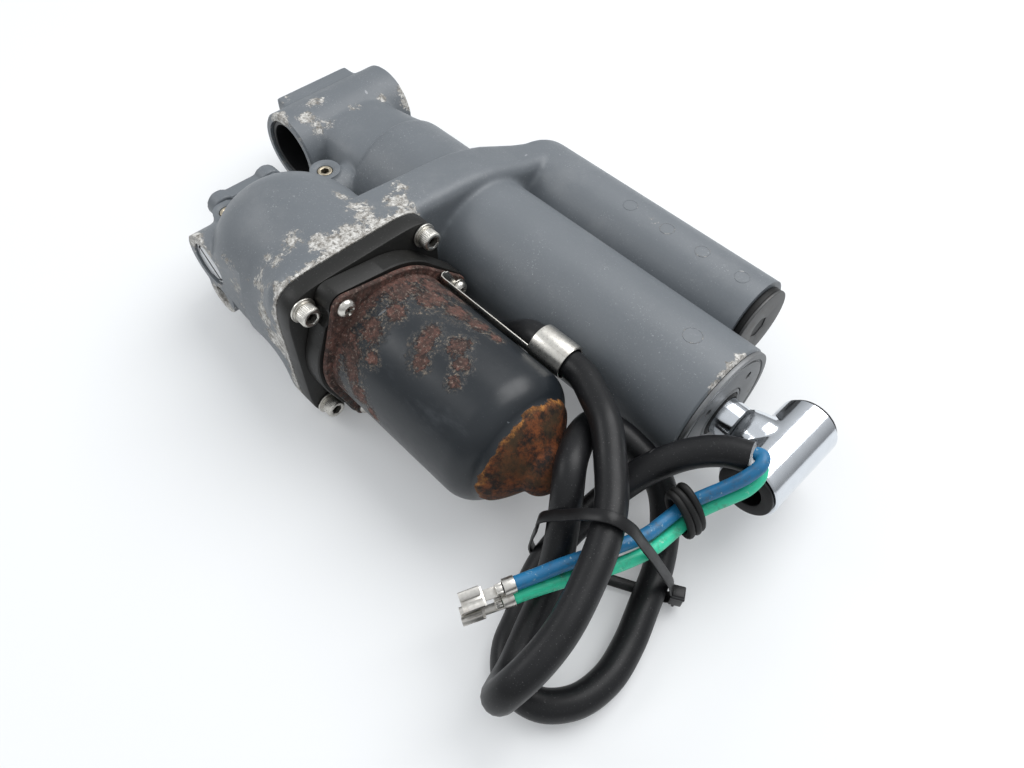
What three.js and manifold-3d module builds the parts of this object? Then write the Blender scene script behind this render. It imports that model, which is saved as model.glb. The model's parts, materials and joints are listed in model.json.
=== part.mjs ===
// Power trim and tilt unit: a hydraulic cylinder, an oil reservoir and an electric gear pump in one
// casting. Millimetres, +Z up, +X along the cylinder towards the rod eye, -Y towards the motor.
import * as THREE from 'three';
import { mergeVertices } from 'three/addons/utils/BufferGeometryUtils.js';
import Module from 'manifold-3d';

const manifoldLibrary = await Module();
manifoldLibrary.setup();

// ---------------------------------------------------------------- driving dimensions

const GAP = 0.3; // clearance between touching pieces
const TURNING_GAP = 0.5; // clearance of a turning piece in its bore
const LARGE_ROUND = 32; // sides of the largest round surfaces
const ROUND = 24;
const MEDIUM_ROUND = 16;
const SMALL_ROUND = 10;

const CYLINDER_Z = 36; // height of the cylinder axis over the resting plane
const EYE_RADIUS = 23.8;
const EYE_NEAR_Y = -34.6;
const EYE_FAR_Y = 42.2;
const EYE_SLEEVE_RADIUS = 19.5;
const PAD_X = -27;
const REAR_BARREL_RADIUS = 36;
const REAR_BARREL_X = 60;
const WALL_START_X = 109;
const WALL_END_X = 134;
const BARREL_RADIUS = 34.7;
const BARREL_END_X = 295.8;
const BORE_RADIUS = 28;
const BORE_START_X = 66;

const RESERVOIR_Y = 57;
const RESERVOIR_Z = CYLINDER_Z + 0.7;
const RESERVOIR_RADIUS = 24.6;
const RESERVOIR_END_X = 275;
const RESERVOIR_BORE = 20;

const MOTOR_Y = -86;
const MOTOR_Z = 44;
const DOME_RADIUS = 43.7;
const DOME_CENTRE_X = 86;
const FLANGE_HALF = 42;
const FLANGE_BULGE = 1.7;
const FLANGE_X = 137; // joint face between the casting and the adapter plate
const PLATE_THICKNESS = 10;
const CAP_SCREW_PITCH = 35; // half the distance between the motor's cap screws
const CHAMBER_RADIUS = 36;
const CHAMBER_X = 74;

const HEAD_X = FLANGE_X + PLATE_THICKNESS + 2 * GAP; // back of the motor's end head
const HEAD_LENGTH = 10.4;
const RIM_X = HEAD_X + HEAD_LENGTH + GAP;
const RIM_THICKNESS = 2.5;
const CAN_RADIUS = 35;
const CAN_WALL = 2;
const EAR_RADIUS_FROM_AXIS = 43;
const EAR_ANGLES = [120, 5, 240];
const GROMMET_ANGLE = -16;
const SHAFT_RADIUS = 4;

const EYE_X = 331; // rod eye, retracted
const ROD_RADIUS = 10;
const ROD_EYE_RADIUS = 15;
const ROD_EYE_HALF = 25;
const ROD_EYE_ROLL = THREE.MathUtils.degToRad(-2.7);
const CAP_FACE_X = BARREL_END_X + 2.5;
const CAP_SKIRT_X = 268;
const SPANNER_HOLE_DISTANCE = 22;
const PISTON_X = 84;
const PISTON_LENGTH = 22;

const COVER_SEAT_X = 37.3;
const VALVE_X = 57;
const VALVE_Z = 43;
const VALVE_FACE_Y = -124;
const SPARE_PORT_X = VALVE_X + 3;
const SPARE_PORT_Z = VALVE_Z - 21;

const CABLE_RADIUS = 7;
const WIRE_RADIUS = 3;

// The origin is the bottom centre of the unit without its cable.
const CENTRE_X = (PAD_X + EYE_X + ROD_EYE_RADIUS) / 2;
const CENTRE_Y = (MOTOR_Y - FLANGE_HALF - FLANGE_BULGE + RESERVOIR_Y + RESERVOIR_RADIUS) / 2;

// ---------------------------------------------------------------- materials

function metal(color, roughness, metalness) {
  return new THREE.MeshStandardMaterial({ color, roughness, metalness });
}

const greyPaint = metal(0x6b7078, 0.5, 0.1);
const blackPaint = metal(0x24282c, 0.4, 0.1);
const blackPlastic = metal(0x1c1c1e, 0.55, 0);
const rubber = metal(0x18181a, 0.75, 0);
const steel = metal(0xb9bcc0, 0.35, 0.9);
const stainless = metal(0xc9c6bf, 0.3, 1);
const chrome = metal(0xd6d9dc, 0.12, 1);
const aluminium = metal(0xa3a7ab, 0.4, 0.8);
const brass = metal(0xb08d4a, 0.35, 0.9);
const bronze = metal(0x8a6a42, 0.5, 0.8);
const copper = metal(0xb0653a, 0.35, 0.9);
const carbon = metal(0x2a2a2c, 0.7, 0);
const ferrite = metal(0x3a3b3e, 0.8, 0);
const bluePlastic = metal(0x1476b0, 0.4, 0);
const greenPlastic = metal(0x22b08a, 0.4, 0);

// ---------------------------------------------------------------- solid modelling helpers

// A closed three.js geometry as a solid that can be joined and cut.
function solid(geometry) {
  const bare = geometry.index ? geometry.toNonIndexed() : geometry.clone();
  for (const name of Object.keys(bare.attributes)) {
    if (name !== 'position') bare.deleteAttribute(name);
  }
  const merged = mergeVertices(bare, 1e-4);
  return new manifoldLibrary.Manifold(new manifoldLibrary.Mesh({
    numProp: 3,
    vertProperties: Float32Array.from(merged.attributes.position.array),
    triVerts: Uint32Array.from(merged.index.array),
  }));
}

function toGeometry(shape) {
  const data = shape.getMesh();
  const geometry = new THREE.BufferGeometry();
  geometry.setAttribute('position', new THREE.BufferAttribute(data.vertProperties, 3));
  geometry.setIndex(new THREE.BufferAttribute(data.triVerts, 1));
  const flat = geometry.toNonIndexed();
  flat.computeVertexNormals();
  return flat;
}

function join(first, ...others) {
  return others.reduce((sum, part) => sum.add(part), first);
}

function cut(base, ...tools) {
  return tools.reduce((rest, tool) => rest.subtract(tool), base);
}

// Turns a shape drawn in X and Y and extruded along Z to one drawn in Y and Z and extruded along X.
const ALONG_X = new THREE.Matrix4().makeBasis(
  new THREE.Vector3(0, 1, 0), new THREE.Vector3(0, 0, 1), new THREE.Vector3(1, 0, 0));

function rodAlongX(radius, fromX, toX, y, z, sides = ROUND) {
  const geometry = new THREE.CylinderGeometry(radius, radius, toX - fromX, sides);
  geometry.rotateZ(-Math.PI / 2);
  geometry.translate((fromX + toX) / 2, y, z);
  return solid(geometry);
}

function rodAlongY(radius, fromY, toY, x, z, sides = ROUND) {
  const geometry = new THREE.CylinderGeometry(radius, radius, toY - fromY, sides);
  geometry.translate(x, (fromY + toY) / 2, z);
  return solid(geometry);
}

function rodAlongZ(radius, fromZ, toZ, x, y, sides = SMALL_ROUND) {
  const geometry = new THREE.CylinderGeometry(radius, radius, toZ - fromZ, sides);
  geometry.rotateX(Math.PI / 2);
  geometry.translate(x, y, (fromZ + toZ) / 2);
  return solid(geometry);
}

function block(x0, x1, y0, y1, z0, z1) {
  const geometry = new THREE.BoxGeometry(x1 - x0, y1 - y0, z1 - z0);
  geometry.translate((x0 + x1) / 2, (y0 + y1) / 2, (z0 + z1) / 2);
  return solid(geometry);
}

// Profile points are [x, radius] and start and end on the axis, or close on themselves.
function turnedAlongX(profile, y, z, sides = ROUND) {
  const points = profile.map(([x, radius]) => new THREE.Vector2(radius, x));
  const geometry = new THREE.LatheGeometry(points, sides);
  geometry.rotateZ(-Math.PI / 2);
  geometry.translate(0, y, z);
  return solid(geometry);
}

// Profile points are [y, radius], with y counted along the world Y axis.
function turnedAlongY(profile, x, z, sides = ROUND) {
  const points = profile.map(([y, radius]) => new THREE.Vector2(radius, y));
  const geometry = new THREE.LatheGeometry(points, sides);
  geometry.translate(x, 0, z);
  return solid(geometry);
}

function ringAlongX(inner, outer, fromX, toX, y, z, sides = ROUND) {
  return cut(
    rodAlongX(outer, fromX, toX, y, z, sides),
    rodAlongX(inner, fromX - 1, toX + 1, y, z, sides));
}

function ringAlongY(inner, outer, fromY, toY, x, z, sides = ROUND) {
  return cut(
    rodAlongY(outer, fromY, toY, x, z, sides),
    rodAlongY(inner, fromY - 1, toY + 1, x, z, sides));
}

// Extrudes an outline drawn in Y and Z from one X to another.
function slabAlongX(shape, fromX, toX, curveSegments = 4) {
  const geometry = new THREE.ExtrudeGeometry(shape, {
    depth: toX - fromX, bevelEnabled: false, curveSegments,
  });
  geometry.applyMatrix4(ALONG_X);
  geometry.translate(fromX, 0, 0);
  return solid(geometry);
}

function hexagonAlongX(acrossFlats, fromX, toX, y, z) {
  return rodAlongX(acrossFlats / Math.sqrt(3), fromX, toX, y, z, 6);
}

function around(angleDegrees, radius) {
  const angle = THREE.MathUtils.degToRad(angleDegrees);
  return [MOTOR_Y + radius * Math.cos(angle), MOTOR_Z + radius * Math.sin(angle)];
}

const CAP_SCREW_PLACES = [[1, 1], [-1, 1], [-1, -1], [1, -1]].map(([side, height]) => [
  MOTOR_Y + side * CAP_SCREW_PITCH, MOTOR_Z + height * CAP_SCREW_PITCH]);

// Square outline with rounded corners and sides that bulge outward in the middle.
function bulgedSquare(half, bulge, corner) {
  const straight = half - corner;
  const shape = new THREE.Shape();
  shape.moveTo(-straight, -half);
  shape.quadraticCurveTo(0, -half - 2 * bulge, straight, -half);
  shape.quadraticCurveTo(half, -half, half, -straight);
  shape.quadraticCurveTo(half + 2 * bulge, 0, half, straight);
  shape.quadraticCurveTo(half, half, straight, half);
  shape.quadraticCurveTo(0, half + 2 * bulge, -straight, half);
  shape.quadraticCurveTo(-half, half, -half, straight);
  shape.quadraticCurveTo(-half - 2 * bulge, 0, -half, -straight);
  shape.quadraticCurveTo(-half, -half, -straight, -half);
  return shape;
}

// ---------------------------------------------------------------- main casting

// A loft along the motor axis from a circle to the bulged square of the motor flange.
function flangeFlare() {
  const rings = 6;
  const sides = LARGE_ROUND;
  const startX = 96;
  const flareX = FLANGE_X - 7;
  const square = [];
  const outline = bulgedSquare(FLANGE_HALF, FLANGE_BULGE, 9).getSpacedPoints(400);
  for (let side = 0; side < sides; side += 1) {
    const angle = (2 * Math.PI * side) / sides;
    const direction = new THREE.Vector2(Math.cos(angle), Math.sin(angle));
    const radius = Math.max(...outline
      .filter((point) => point.clone().normalize().dot(direction) > 0.9999)
      .map((point) => point.length()));
    square.push(radius);
  }
  const stations = [];
  for (let ring = 0; ring < rings; ring += 1) {
    const part = ring / (rings - 1);
    stations.push([startX + part * (flareX - startX), part * part]);
  }
  stations.push([FLANGE_X, 1]);
  const positions = [];
  for (const [x, blend] of stations) {
    for (let side = 0; side < sides; side += 1) {
      const angle = (2 * Math.PI * side) / sides;
      const radius = THREE.MathUtils.lerp(DOME_RADIUS - 0.4, square[side], blend);
      positions.push(x, MOTOR_Y + radius * Math.cos(angle), MOTOR_Z + radius * Math.sin(angle));
    }
  }
  const first = positions.length / 3;
  positions.push(startX, MOTOR_Y, MOTOR_Z, FLANGE_X, MOTOR_Y, MOTOR_Z);
  const triangles = [];
  const last = (stations.length - 1) * sides;
  for (let side = 0; side < sides; side += 1) {
    const next = (side + 1) % sides;
    for (let ring = 0; ring < stations.length - 1; ring += 1) {
      const low = ring * sides;
      triangles.push(low + side, low + next, low + sides + next);
      triangles.push(low + side, low + sides + next, low + sides + side);
    }
    triangles.push(first, next, side);
    triangles.push(first + 1, last + side, last + next);
  }
  const geometry = new THREE.BufferGeometry();
  geometry.setAttribute('position', new THREE.Float32BufferAttribute(positions, 3));
  geometry.setIndex(triangles);
  return solid(geometry);
}

function pumpDome() {
  const profile = [[DOME_CENTRE_X - DOME_RADIUS, 0]];
  const steps = 9;
  for (let step = 1; step <= steps; step += 1) {
    const angle = (Math.PI / 2) * (step / steps);
    profile.push([DOME_CENTRE_X - DOME_RADIUS * Math.cos(angle), DOME_RADIUS * Math.sin(angle)]);
  }
  profile.push([FLANGE_X - 1, DOME_RADIUS], [FLANGE_X - 1, 0]);
  return turnedAlongX(profile, MOTOR_Y, MOTOR_Z, LARGE_ROUND);
}

function lowerEye() {
  const edge = 2;
  const barrel = turnedAlongY([
    [EYE_NEAR_Y, 0], [EYE_NEAR_Y, EYE_RADIUS - edge], [EYE_NEAR_Y + edge, EYE_RADIUS],
    [EYE_FAR_Y - edge, EYE_RADIUS], [EYE_FAR_Y, EYE_RADIUS - edge], [EYE_FAR_Y, 0],
  ], 0, CYLINDER_Z);
  const pad = block(PAD_X, -5, -22, 30, CYLINDER_Z - 18, CYLINDER_Z + 18);
  return join(barrel, pad);
}

// The neck between the lower eye and the cylinder.
function neck() {
  const shape = new THREE.Shape();
  shape.moveTo(-25, CYLINDER_Z - 20);
  shape.lineTo(32, CYLINDER_Z - 20);
  shape.lineTo(34, CYLINDER_Z);
  shape.lineTo(30, CYLINDER_Z + 21);
  shape.lineTo(-22, CYLINDER_Z + 21);
  shape.lineTo(-28, CYLINDER_Z);
  shape.closePath();
  return slabAlongX(shape, 4, REAR_BARREL_X + 6);
}

function cylinderBarrel() {
  const shoulder = 5;
  return turnedAlongX([
    [REAR_BARREL_X, 0], [REAR_BARREL_X, REAR_BARREL_RADIUS - shoulder],
    [REAR_BARREL_X + 1.5, REAR_BARREL_RADIUS - 1.5], [REAR_BARREL_X + shoulder, REAR_BARREL_RADIUS],
    [WALL_START_X + 8, REAR_BARREL_RADIUS], [WALL_START_X + 12, BARREL_RADIUS],
    [BARREL_END_X - 1, BARREL_RADIUS], [BARREL_END_X, BARREL_RADIUS - 1], [BARREL_END_X, 0],
  ], 0, CYLINDER_Z, LARGE_ROUND);
}

function reservoirBarrel() {
  const start = WALL_START_X + 1;
  const shoulder = 6;
  const profile = [[start, 0]];
  const steps = 5;
  for (let step = 0; step <= steps; step += 1) {
    const angle = (Math.PI / 2) * (step / steps);
    profile.push([
      start + shoulder * (1 - Math.cos(angle)),
      RESERVOIR_RADIUS - shoulder + shoulder * Math.sin(angle)]);
  }
  profile.push([RESERVOIR_END_X - 2, RESERVOIR_RADIUS], [RESERVOIR_END_X, RESERVOIR_RADIUS - 2]);
  profile.push([RESERVOIR_END_X, 0]);
  return turnedAlongX(profile, RESERVOIR_Y, RESERVOIR_Z);
}

// The thick wall that ties the pump housing, the cylinder and the reservoir together.
function bridgeWall() {
  const under = [[MOTOR_Y, 3], [-20, 3], [0, 0.4], [24, 5], [RESERVOIR_Y, 13.5]];
  const beyond = [[67, 16], [76, 24], [80, RESERVOIR_Z], [76, 49.5], [67, 57.5]];
  const top = [
    [RESERVOIR_Y, 60.8], [45, 63.2], [34, 66.4], [23.5, 70.4], [12, 74.4], [1.6, 77], [-10, 78.6],
    [-22, 79.6], [-38, 81], [-52, 82.3], [-64, 83.2], [MOTOR_Y, 82],
  ];
  const corners = [...under, ...beyond, ...top].map(([y, z]) => new THREE.Vector2(y, z));
  return slabAlongX(new THREE.Shape(corners), WALL_START_X, WALL_END_X);
}

// Low web in the valley between the cylinder and the reservoir.
function valleyWeb() {
  return block(WALL_END_X - 10, RESERVOIR_END_X - 1, 26, 42, CYLINDER_Z - 9, CYLINDER_Z + 9.5);
}

function valveBoss() {
  const upper = rodAlongY(17, VALVE_FACE_Y, -95, VALVE_X, VALVE_Z, MEDIUM_ROUND);
  const lower = rodAlongY(11, VALVE_FACE_Y, -100, SPARE_PORT_X, SPARE_PORT_Z, MEDIUM_ROUND);
  const between = block(VALVE_X - 7, VALVE_X + 13, VALVE_FACE_Y, -100, VALVE_Z - 22, VALVE_Z);
  return join(upper, lower, between);
}

const GALLERY_PLUGS = [
  { x: 45, y: -100.5, topZ: 58, bossRadius: 7.8 },
  { x: 46, y: -39.5, topZ: 52.5, bossRadius: 8.6 },
];
const GALLERY_HOLE_RADIUS = 4.6;

function galleryBosses() {
  return GALLERY_PLUGS.map(({ x, y, topZ, bossRadius }) => (
    rodAlongZ(bossRadius, MOTOR_Z - 16, topZ, x, y, MEDIUM_ROUND)));
}

function crossGallery() {
  return rodAlongY(13, MOTOR_Y, -8, 52, CYLINDER_Z + 2, MEDIUM_ROUND);
}

function mainHousing() {
  const body = join(
    cylinderBarrel(), lowerEye(), neck(), reservoirBarrel(), bridgeWall(), valleyWeb(),
    pumpDome(), flangeFlare(), valveBoss(), crossGallery(), ...galleryBosses(),
    lobedPlate(COVER_SEAT_X, 56));
  const bores = [
    rodAlongX(BORE_RADIUS, BORE_START_X, BARREL_END_X + 1, 0, CYLINDER_Z),
    rodAlongX(RESERVOIR_BORE, 130, RESERVOIR_END_X + 1, RESERVOIR_Y, RESERVOIR_Z),
    rodAlongX(CHAMBER_RADIUS, CHAMBER_X, FLANGE_X + 1, MOTOR_Y, MOTOR_Z),
    rodAlongY(EYE_SLEEVE_RADIUS, EYE_NEAR_Y - 1, EYE_FAR_Y + 1, 0, CYLINDER_Z),
    rodAlongY(12.2, VALVE_FACE_Y - 1, VALVE_FACE_Y + 8, VALVE_X, VALVE_Z, MEDIUM_ROUND),
    rodAlongY(6.4, VALVE_FACE_Y - 1, VALVE_FACE_Y + 26, VALVE_X, VALVE_Z, MEDIUM_ROUND),
    rodAlongY(5.5, VALVE_FACE_Y - 1, VALVE_FACE_Y + 13, SPARE_PORT_X, SPARE_PORT_Z, SMALL_ROUND),
    ...GALLERY_PLUGS.map(({ x, y, topZ }) => rodAlongZ(GALLERY_HOLE_RADIUS, topZ - 12, topZ + 1, x, y)),
    ...CAP_SCREW_PLACES.map(([y, z]) => rodAlongX(3.4, FLANGE_X - 10, FLANGE_X + 1, y, z, SMALL_ROUND)),
  ];
  return cut(body, ...bores);
}

// ---------------------------------------------------------------- lower mount, valve and plugs

function lowerBushing(side) {
  const outer = EYE_SLEEVE_RADIUS - GAP;
  const edge = side < 0 ? EYE_NEAR_Y + 1.5 : EYE_FAR_Y - 1.5;
  const from = side < 0 ? edge : edge - 24;
  return ringAlongY(16.3, outer, from, from + 24, 0, CYLINDER_Z);
}

// The manual release valve: a slotted head, a stem and a needle point.
function releaseValve() {
  const face = VALVE_FACE_Y + 1;
  const body = turnedAlongY([
    [face, 0], [face, 9.4], [face + 0.8, 10.2], [face + 6.2, 10.2], [face + 6.2, 6],
    [face + 20, 6], [face + 24, 1.2], [face + 24, 0],
  ], VALVE_X, VALVE_Z, MEDIUM_ROUND);
  const slot = solid(new THREE.BoxGeometry(19, 5, 2.2)
    .rotateY(THREE.MathUtils.degToRad(48))
    .translate(VALVE_X, face, VALVE_Z));
  return cut(body, slot);
}

function valveRing() {
  const back = VALVE_FACE_Y + 2.4;
  const ring = ringAlongY(10.6, 11.9, back - 1.2, back, VALVE_X, VALVE_Z, MEDIUM_ROUND);
  const opening = block(VALVE_X - 2, VALVE_X + 2, back - 3, back + 1, VALVE_Z - 14, VALVE_Z - 8);
  return cut(ring, opening);
}

function galleryPlug({ x, y, topZ }) {
  const body = rodAlongZ(GALLERY_HOLE_RADIUS - GAP, topZ - 10, topZ - 0.8, x, y);
  const socket = rodAlongZ(2.3, topZ - 5, topZ, x, y, 6);
  return cut(body, socket);
}

// Outline shared by the lobed plate behind the pump dome and the seat it is fixed to.
function lobedPlate(fromX, toX) {
  const lobes = [[-97, 52], [-68, 53], [-99, 26], [-66, 26]];
  const core = block(fromX, toX, -100, -65, 22, 57.5);
  const corners = lobes.map(([y, z]) => rodAlongX(7.5, fromX, toX, y, z, MEDIUM_ROUND));
  return join(core, ...corners);
}

function rearCover() {
  return lobedPlate(COVER_SEAT_X - GAP - 8, COVER_SEAT_X - GAP);
}

// Stopper with a thin face, a hexagon socket and a groove for its seal.
function reservoirPlug() {
  const face = RESERVOIR_END_X + 5;
  const start = RESERVOIR_END_X + GAP;
  const body = join(
    turnedAlongX([[start, 0], [start, 21.8], [face - 1.2, 21.8], [face, 20.6], [face, 0]],
      RESERVOIR_Y, RESERVOIR_Z),
    rodAlongX(RESERVOIR_BORE - GAP, start - 14, start + 1, RESERVOIR_Y, RESERVOIR_Z));
  const groove = cut(
    rodAlongX(RESERVOIR_BORE + 1, start - 7, start - 4, RESERVOIR_Y, RESERVOIR_Z),
    rodAlongX(17, start - 8, start - 3, RESERVOIR_Y, RESERVOIR_Z));
  return cut(body, groove, hexagonAlongX(10, face - 5, face + 1, RESERVOIR_Y, RESERVOIR_Z));
}

function reservoirSeal() {
  const start = RESERVOIR_END_X + GAP - 7 + GAP;
  return ringAlongX(17.3, RESERVOIR_BORE - 0.1, start, start + 2.4, RESERVOIR_Y, RESERVOIR_Z);
}

// ---------------------------------------------------------------- cylinder

function endCap() {
  const face = CAP_FACE_X;
  const body = join(
    turnedAlongX([
      [BARREL_END_X + GAP, 0], [BARREL_END_X + GAP, 34.1], [face - 0.8, 34.1], [face, 33.3],
      [face, 0]], 0, CYLINDER_Z),
    rodAlongX(BORE_RADIUS - GAP, CAP_SKIRT_X, BARREL_END_X + 1, 0, CYLINDER_Z));
  const sealGroove = cut(
    rodAlongX(BORE_RADIUS + 1, 275, 279, 0, CYLINDER_Z),
    rodAlongX(BORE_RADIUS - 3, 274, 280, 0, CYLINDER_Z));
  const faceGroove = ringAlongX(29.6, 30.8, face - 0.8, face + 1, 0, CYLINDER_Z);
  const holes = [45, 135, 225, 315].map((angle) => {
    const turn = THREE.MathUtils.degToRad(angle);
    const y = SPANNER_HOLE_DISTANCE * Math.cos(turn);
    const z = CYLINDER_Z + SPANNER_HOLE_DISTANCE * Math.sin(turn);
    return rodAlongX(2.1, face - 4, face + 1, y, z, SMALL_ROUND);
  });
  return cut(body, sealGroove, faceGroove, ...holes,
    rodAlongX(ROD_RADIUS + GAP, CAP_SKIRT_X - 1, face + 1, 0, CYLINDER_Z),
    rodAlongX(14.6, face - 7, face + 1, 0, CYLINDER_Z),
    rodAlongX(14.6, CAP_SKIRT_X - 1, CAP_SKIRT_X + 6, 0, CYLINDER_Z));
}

function capSeal() {
  return ringAlongX(BORE_RADIUS - 2.7, BORE_RADIUS - 0.1, 275.4, 278.6, 0, CYLINDER_Z);
}

function rodWiper() {
  const face = CAP_FACE_X;
  return turnedAlongX([
    [face - 6.6, ROD_RADIUS + GAP], [face - 6.6, 14.3], [face - 0.4, 14.3], [face + 1.4, 11.2],
    [face + 1.4, ROD_RADIUS + GAP], [face - 6.6, ROD_RADIUS + GAP],
  ], 0, CYLINDER_Z);
}

function rodSeal() {
  return ringAlongX(ROD_RADIUS + GAP, 14.3, CAP_SKIRT_X + 0.4, CAP_SKIRT_X + 5.6, 0, CYLINDER_Z);
}

// Rod, forged neck and eye tube. The eye is turned a little about the rod.
function pistonRod() {
  const rodStart = PISTON_X - 9;
  const rod = turnedAlongX([
    [rodStart, 0], [rodStart, 5.7], [PISTON_X + 18, 5.7], [PISTON_X + 18, 9], [PISTON_X + 23, ROD_RADIUS],
    [CAP_FACE_X + 9, ROD_RADIUS], [CAP_FACE_X + 12, ROD_RADIUS - 1], [EYE_X - 17, 12],
    [EYE_X - 12, 14.2], [EYE_X - 6, 14.4], [EYE_X - 6, 0],
  ], 0, CYLINDER_Z, MEDIUM_ROUND);
  const edge = 1;
  const tube = turnedAlongY([
    [-ROD_EYE_HALF, 0], [-ROD_EYE_HALF, ROD_EYE_RADIUS - edge], [-ROD_EYE_HALF + edge, ROD_EYE_RADIUS],
    [ROD_EYE_HALF - edge, ROD_EYE_RADIUS], [ROD_EYE_HALF, ROD_EYE_RADIUS - edge], [ROD_EYE_HALF, 0],
  ], EYE_X, 0);
  const bore = rodAlongY(12, -ROD_EYE_HALF - 1, ROD_EYE_HALF + 1, EYE_X, 0, MEDIUM_ROUND);
  const level = toGeometry(cut(join(tube), bore));
  level.rotateX(ROD_EYE_ROLL);
  level.translate(0, 0, CYLINDER_Z);
  const boreAtPlace = toGeometry(bore).rotateX(ROD_EYE_ROLL).translate(0, 0, CYLINDER_Z);
  return join(cut(rod, solid(boreAtPlace)), solid(level));
}

function rodBushing(side) {
  const flange = ROD_EYE_HALF + GAP;
  const profile = [
    [flange - 20, 8], [flange - 20, 11.7], [flange, 11.7], [flange, 13.6], [flange + 1.6, 13.6],
    [flange + 1.6, 8], [flange - 20, 8],
  ].map(([y, radius]) => [side * y, radius]);
  if (side < 0) profile.reverse();
  const geometry = toGeometry(turnedAlongY(profile, EYE_X, 0, MEDIUM_ROUND));
  geometry.rotateX(ROD_EYE_ROLL);
  geometry.translate(0, 0, CYLINDER_Z);
  return solid(geometry);
}

function piston() {
  const start = PISTON_X;
  const end = PISTON_X + PISTON_LENGTH;
  const body = rodAlongX(BORE_RADIUS - GAP, start, end, 0, CYLINDER_Z);
  const groove = cut(
    rodAlongX(BORE_RADIUS + 1, start + 8, start + 14, 0, CYLINDER_Z),
    rodAlongX(BORE_RADIUS - 3.2, start + 7, start + 15, 0, CYLINDER_Z));
  return cut(body, groove,
    rodAlongX(6, start - 1, end + 1, 0, CYLINDER_Z, MEDIUM_ROUND),
    rodAlongX(ROD_RADIUS + GAP, start + 17.7, end + 1, 0, CYLINDER_Z, MEDIUM_ROUND));
}

function pistonSeal() {
  return ringAlongX(BORE_RADIUS - 2.9, BORE_RADIUS - 0.15, PISTON_X + 8.4, PISTON_X + 13.6, 0, CYLINDER_Z);
}

function pistonNut() {
  return cut(
    hexagonAlongX(18, PISTON_X - 7.6, PISTON_X - GAP, 0, CYLINDER_Z),
    rodAlongX(6, PISTON_X - 9, PISTON_X + 1, 0, CYLINDER_Z, MEDIUM_ROUND));
}

// The free piston that holds the pistons' trim position after the cylinder has been knocked out.
function freePiston() {
  const start = BORE_START_X + GAP;
  return turnedAlongX([
    [start, 0], [start, BORE_RADIUS - 1.5], [start + 1, BORE_RADIUS - GAP],
    [start + 7.6, BORE_RADIUS - GAP], [start + 7.6, 18], [start + 5, 14], [start + 5, 0],
  ], 0, CYLINDER_Z);
}

// ---------------------------------------------------------------- gear pump

const GEAR_TEETH = 10;
const GEAR_MODULE = 2.2;
const GEAR_PITCH_RADIUS = (GEAR_TEETH * GEAR_MODULE) / 2;
const GEAR_TIP_RADIUS = GEAR_PITCH_RADIUS + 0.85 * GEAR_MODULE;
const GEAR_ROOT_RADIUS = GEAR_PITCH_RADIUS - 1.05 * GEAR_MODULE;
const PUMP_X = 80;
const PUMP_FACE_X = 104;
const GEAR_X = 91;
const DRIVEN_Z = MOTOR_Z - 2 * GEAR_PITCH_RADIUS;

// Gear outline about the origin, with a tooth or a gap on the first axis.
function gearShape(startAngle) {
  const pitch = (2 * Math.PI) / GEAR_TEETH;
  const flank = [
    [GEAR_ROOT_RADIUS, -0.29], [GEAR_PITCH_RADIUS, -0.21], [GEAR_TIP_RADIUS, -0.1],
    [GEAR_TIP_RADIUS, 0.1], [GEAR_PITCH_RADIUS, 0.21], [GEAR_ROOT_RADIUS, 0.29],
  ];
  const points = [];
  for (let tooth = 0; tooth < GEAR_TEETH; tooth += 1) {
    for (const [radius, share] of flank) {
      const angle = startAngle + (tooth + share) * pitch;
      points.push(new THREE.Vector2(radius * Math.cos(angle), radius * Math.sin(angle)));
    }
  }
  return new THREE.Shape(points);
}

function gear(z, startAngle, shaftEndX) {
  const geometry = toGeometry(slabAlongX(gearShape(startAngle), GEAR_X, PUMP_FACE_X - GAP));
  geometry.translate(0, MOTOR_Y, z);
  return join(solid(geometry), rodAlongX(SHAFT_RADIUS, PUMP_X + 2, shaftEndX, MOTOR_Y, z, MEDIUM_ROUND));
}

function gearPumpHousing() {
  const body = rodAlongX(CHAMBER_RADIUS - 1, PUMP_X, PUMP_FACE_X, MOTOR_Y, MOTOR_Z);
  const cavities = [MOTOR_Z, DRIVEN_Z].map((z) => (
    rodAlongX(GEAR_TIP_RADIUS + TURNING_GAP, GEAR_X - GAP, PUMP_FACE_X + 1, MOTOR_Y, z, MEDIUM_ROUND)));
  const shaftBores = [MOTOR_Z, DRIVEN_Z].map((z) => (
    rodAlongX(SHAFT_RADIUS + TURNING_GAP, PUMP_X - 1, PUMP_FACE_X, MOTOR_Y, z, MEDIUM_ROUND)));
  const reliefBore = rodAlongX(3.6, PUMP_X - 1, PUMP_FACE_X - 4, MOTOR_Y, MOTOR_Z + 23, SMALL_ROUND);
  return cut(body, ...cavities, ...shaftBores, reliefBore);
}

function pumpCover() {
  const start = PUMP_FACE_X + GAP;
  const end = start + 6;
  const bores = [MOTOR_Z, DRIVEN_Z].map((z) => (
    rodAlongX(SHAFT_RADIUS + TURNING_GAP, start - 1, end + 1, MOTOR_Y, z, MEDIUM_ROUND)));
  return cut(rodAlongX(CHAMBER_RADIUS - 1, start, end, MOTOR_Y, MOTOR_Z), ...bores);
}

function reliefBall() {
  return solid(new THREE.SphereGeometry(3.1, 16, 10)
    .translate(PUMP_FACE_X - 4 - 3.6, MOTOR_Y, MOTOR_Z + 23));
}

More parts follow.
